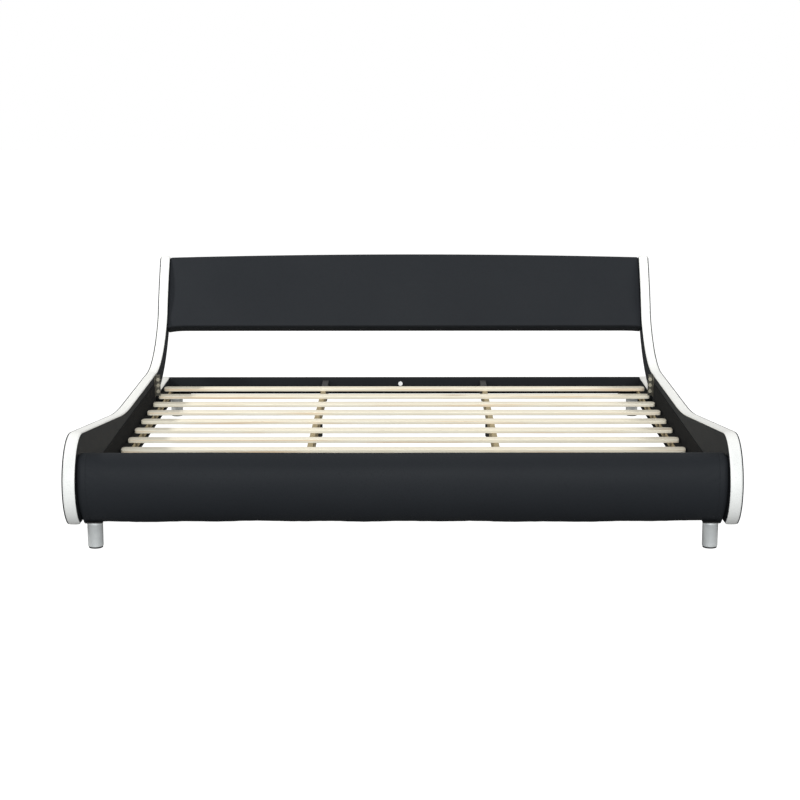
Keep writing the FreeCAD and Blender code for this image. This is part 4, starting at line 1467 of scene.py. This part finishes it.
@dataclass
class Hardware:
    """The CAD nodes that keep their shape and take a finish, some with eased edges."""

    eased: dict[str, tuple[Finish, float]] = field(default_factory=lambda: {
        # The joint angles take the darkened zinc, which is painted shade.
        "joint_angles": (SHADED_ZINC, 0.0006), "joint_fasteners": (BRIGHT_ZINC, 0.0004),
        "beam_hangers": (BLACK_METAL, 0.0005), "headboard_ties": (BLACK_METAL, 0.0006),
        "leg_plates": (BLACK_METAL, 0.0007), "floor_glides": (BLACK_PLASTIC, 0.0008),
        "back_rail_cap": (WHITE_PLASTIC, 0.0012), "ledge_battens": (BATTEN, 0.0015),
        "corner_blocks": (LINING, 0.0015), "footboard_back_panel": (LINING, 0.001),
        "back_rail_board": (PLYWOOD, 0.0), "headboard_board": (PLYWOOD, 0.0),
        "footboard_board": (PLYWOOD, 0.0)})

    def build(self, nodes: dict[str, Piece]) -> None:
        """Dresses every CAD node that is still shown."""
        for side in Side:
            for part in ("rail", "wing"):
                self.eased[f"{side.word}_{part}_board"] = (PLYWOOD, 0.0)
                self.eased[f"{side.word}_{part}_ledge"] = (LINING, 0.001)
        for name, node in nodes.items():
            if not node.hide_render:
                dress_node(node, *self.eased[name])


# ---- studio ----------------------------------------------------------------------------------------------


@dataclass(frozen=True)
class StudioCamera:
    """The camera in front of the foot end.

    Attributes:
        place: Its position.
        tilt: How far it looks down, in degrees.
        pan: How far it looks to the right, in degrees.
        roll: Its turn about its own line of sight, in degrees.
        lens: The focal length in millimetres.
        sensor: The sensor's width in millimetres.
    """

    place: Place = (0.0216, -6.5576, 1.5482)
    tilt: float = 11.158
    pan: float = -0.300
    roll: float = -0.092
    lens: float = 81.9
    sensor: float = 36.0

    def build(self) -> None:
        """Makes the camera and the scene's view through it."""
        data = bpy.data.cameras.new("studio_camera")
        data.lens, data.sensor_width = self.lens, self.sensor
        data.clip_start, data.clip_end = 0.1, 100.0
        camera = bpy.data.objects.new("studio_camera", data)
        bpy.context.scene.collection.objects.link(camera)
        tilt, pan, roll = (math.radians(a) for a in (self.tilt, self.pan, self.roll))
        forward = Vector((math.sin(pan) * math.cos(tilt), math.cos(pan) * math.cos(tilt), -math.sin(tilt)))
        right = Vector((math.cos(pan), -math.sin(pan), 0.0))
        up = right.cross(forward)
        right, up = right * math.cos(roll) + up * math.sin(roll), up * math.cos(roll) - right * math.sin(roll)
        turn = Matrix((right, up, -forward)).transposed().to_4x4()
        camera.matrix_world = Matrix.Translation(self.place) @ turn
        bpy.context.scene.camera = camera


@dataclass(frozen=True)
class SoftBox:
    """An area light that looks at a point.

    Attributes:
        name: Its name.
        place: Its position.
        target: The point that it looks at.
        size: Its width and height.
        power: Its power in watts.
        colour: Its colour.
    """

    name: str
    place: Place
    target: Place
    size: Point
    power: float
    colour: Place = (1.0, 1.0, 1.0)

    def build(self) -> None:
        """Makes the light."""
        data = bpy.data.lights.new(self.name, "AREA")
        data.shape, data.size, data.size_y = "RECTANGLE", *self.size
        data.energy, data.color = self.power, self.colour
        light = bpy.data.objects.new(self.name, data)
        bpy.context.scene.collection.objects.link(light)
        light.location = self.place
        away = Vector(self.place) - Vector(self.target)
        light.rotation_euler = away.to_track_quat("Z", "Y").to_euler()
        light.visible_camera = False


@dataclass(frozen=True)
class Studio:
    """A white sweep: a pale floor, a pale surround and soft boxes."""

    surround: float = 0.36
    boxes: tuple[SoftBox, ...] = (
        SoftBox("key_left", (-4.3, 0.1, 2.25), (-0.3, 0.3, 0.15), (0.35, 0.35), 135.0, (1.0, 0.985, 0.95)),
        SoftBox("key_right", (4.3, 0.6, 2.3), (0.3, 0.3, 0.15), (1.5, 1.2), 110.0, (1.0, 0.985, 0.95)),
        SoftBox("overhead", (0.0, 0.1, 3.4), (0.0, 0.1, 0.0), (1.6, 1.6), 12.0),
        SoftBox("front", (0.0, -12.0, 3.3), (0.0, -1.0, 0.2), (5.0, 2.6), 1090.0, (0.965, 0.99, 1.0)),
    )

    def build(self) -> None:
        """Makes the world, the floor and the lights."""
        scene = bpy.context.scene
        scene.view_settings.view_transform = "Standard"
        world = bpy.data.worlds.new("surround")
        scene.world = world
        world.use_nodes = True
        graph = Graph(world.node_tree)
        world.node_tree.nodes.clear()
        seen = graph.add("LightPath").outputs["Is Camera Ray"]
        strength = graph.spread(seen, 0.0, 1.0, self.surround, 1.0)
        shine = graph.add("Background", {"Color": (1, 1, 1, 1), "Strength": strength})
        out = graph.add("OutputWorld")
        world.node_tree.links.new(shine.outputs[0], out.inputs[0])
        self.floor()
        for box in self.boxes:
            box.build()

    def floor(self) -> None:
        """A wide pale floor that looks white to the eye and takes a faint shadow."""
        size, count = 40.0, 9
        line = np.linspace(-size / 2, size / 2, count)
        grid = np.stack(np.meshgrid(line, line, [0.0], indexing="ij"), -1).reshape(-1, 3)
        i, j = np.meshgrid(np.arange(count - 1), np.arange(count - 1), indexing="ij")
        corner = (i * count + j).ravel()
        quads = np.stack([corner, corner + count, corner + count + 1, corner + 1], -1)
        floor = mesh_object("studio_floor", grid, quads.tolist())
        material = bpy.data.materials.new("studio_floor")
        material.use_nodes = True
        graph = Graph(material.node_tree)
        material.node_tree.nodes.clear()
        seen = graph.add("LightPath").outputs["Is Camera Ray"]
        glow = graph.add("Emission", {"Color": (1, 1, 1, 1), "Strength": graph.math("MULTIPLY", seen, 0.97)})
        matt = graph.add("BsdfDiffuse", {"Color": (0.20, 0.20, 0.20, 1)})
        both = graph.add("AddShader", {0: glow.outputs[0], 1: matt.outputs[0]})
        out = graph.add("OutputMaterial")
        material.node_tree.links.new(both.outputs[0], out.inputs[0])
        floor.data.materials.append(material)


def corners(box: tuple[Vector, Vector]) -> list[list[float]]:
    """A box as plain lists of numbers."""
    return [list(corner) for corner in box]


def main() -> None:
    """Loads the frame, builds the camera, the studio and each sub-assembly."""
    logging.basicConfig(level=logging.INFO, format="%(name)s: %(message)s")
    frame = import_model()
    nodes = frame["nodes"]
    StudioCamera().build()
    Studio().build()
    for build_effect in (build_grain, build_timber, build_weave, build_scuff, build_brush):
        build_effect()
    roll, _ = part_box("left_rail_band")
    inner = -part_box("left_rail_inner_pad")[1].x
    profile = SideProfile(foot=roll.y, base=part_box("left_rail_board")[0].z)
    SidePanels(profile, inner).build()
    Footboard(profile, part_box("footboard_pad")[1].x).build()
    Headboard(profile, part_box("headboard_pad")[1].x).build()
    BackRail().build()
    SlatDeck().build(nodes)
    Legs().build()
    Hardware().build(nodes)


if __name__ == "__main__":
    main()
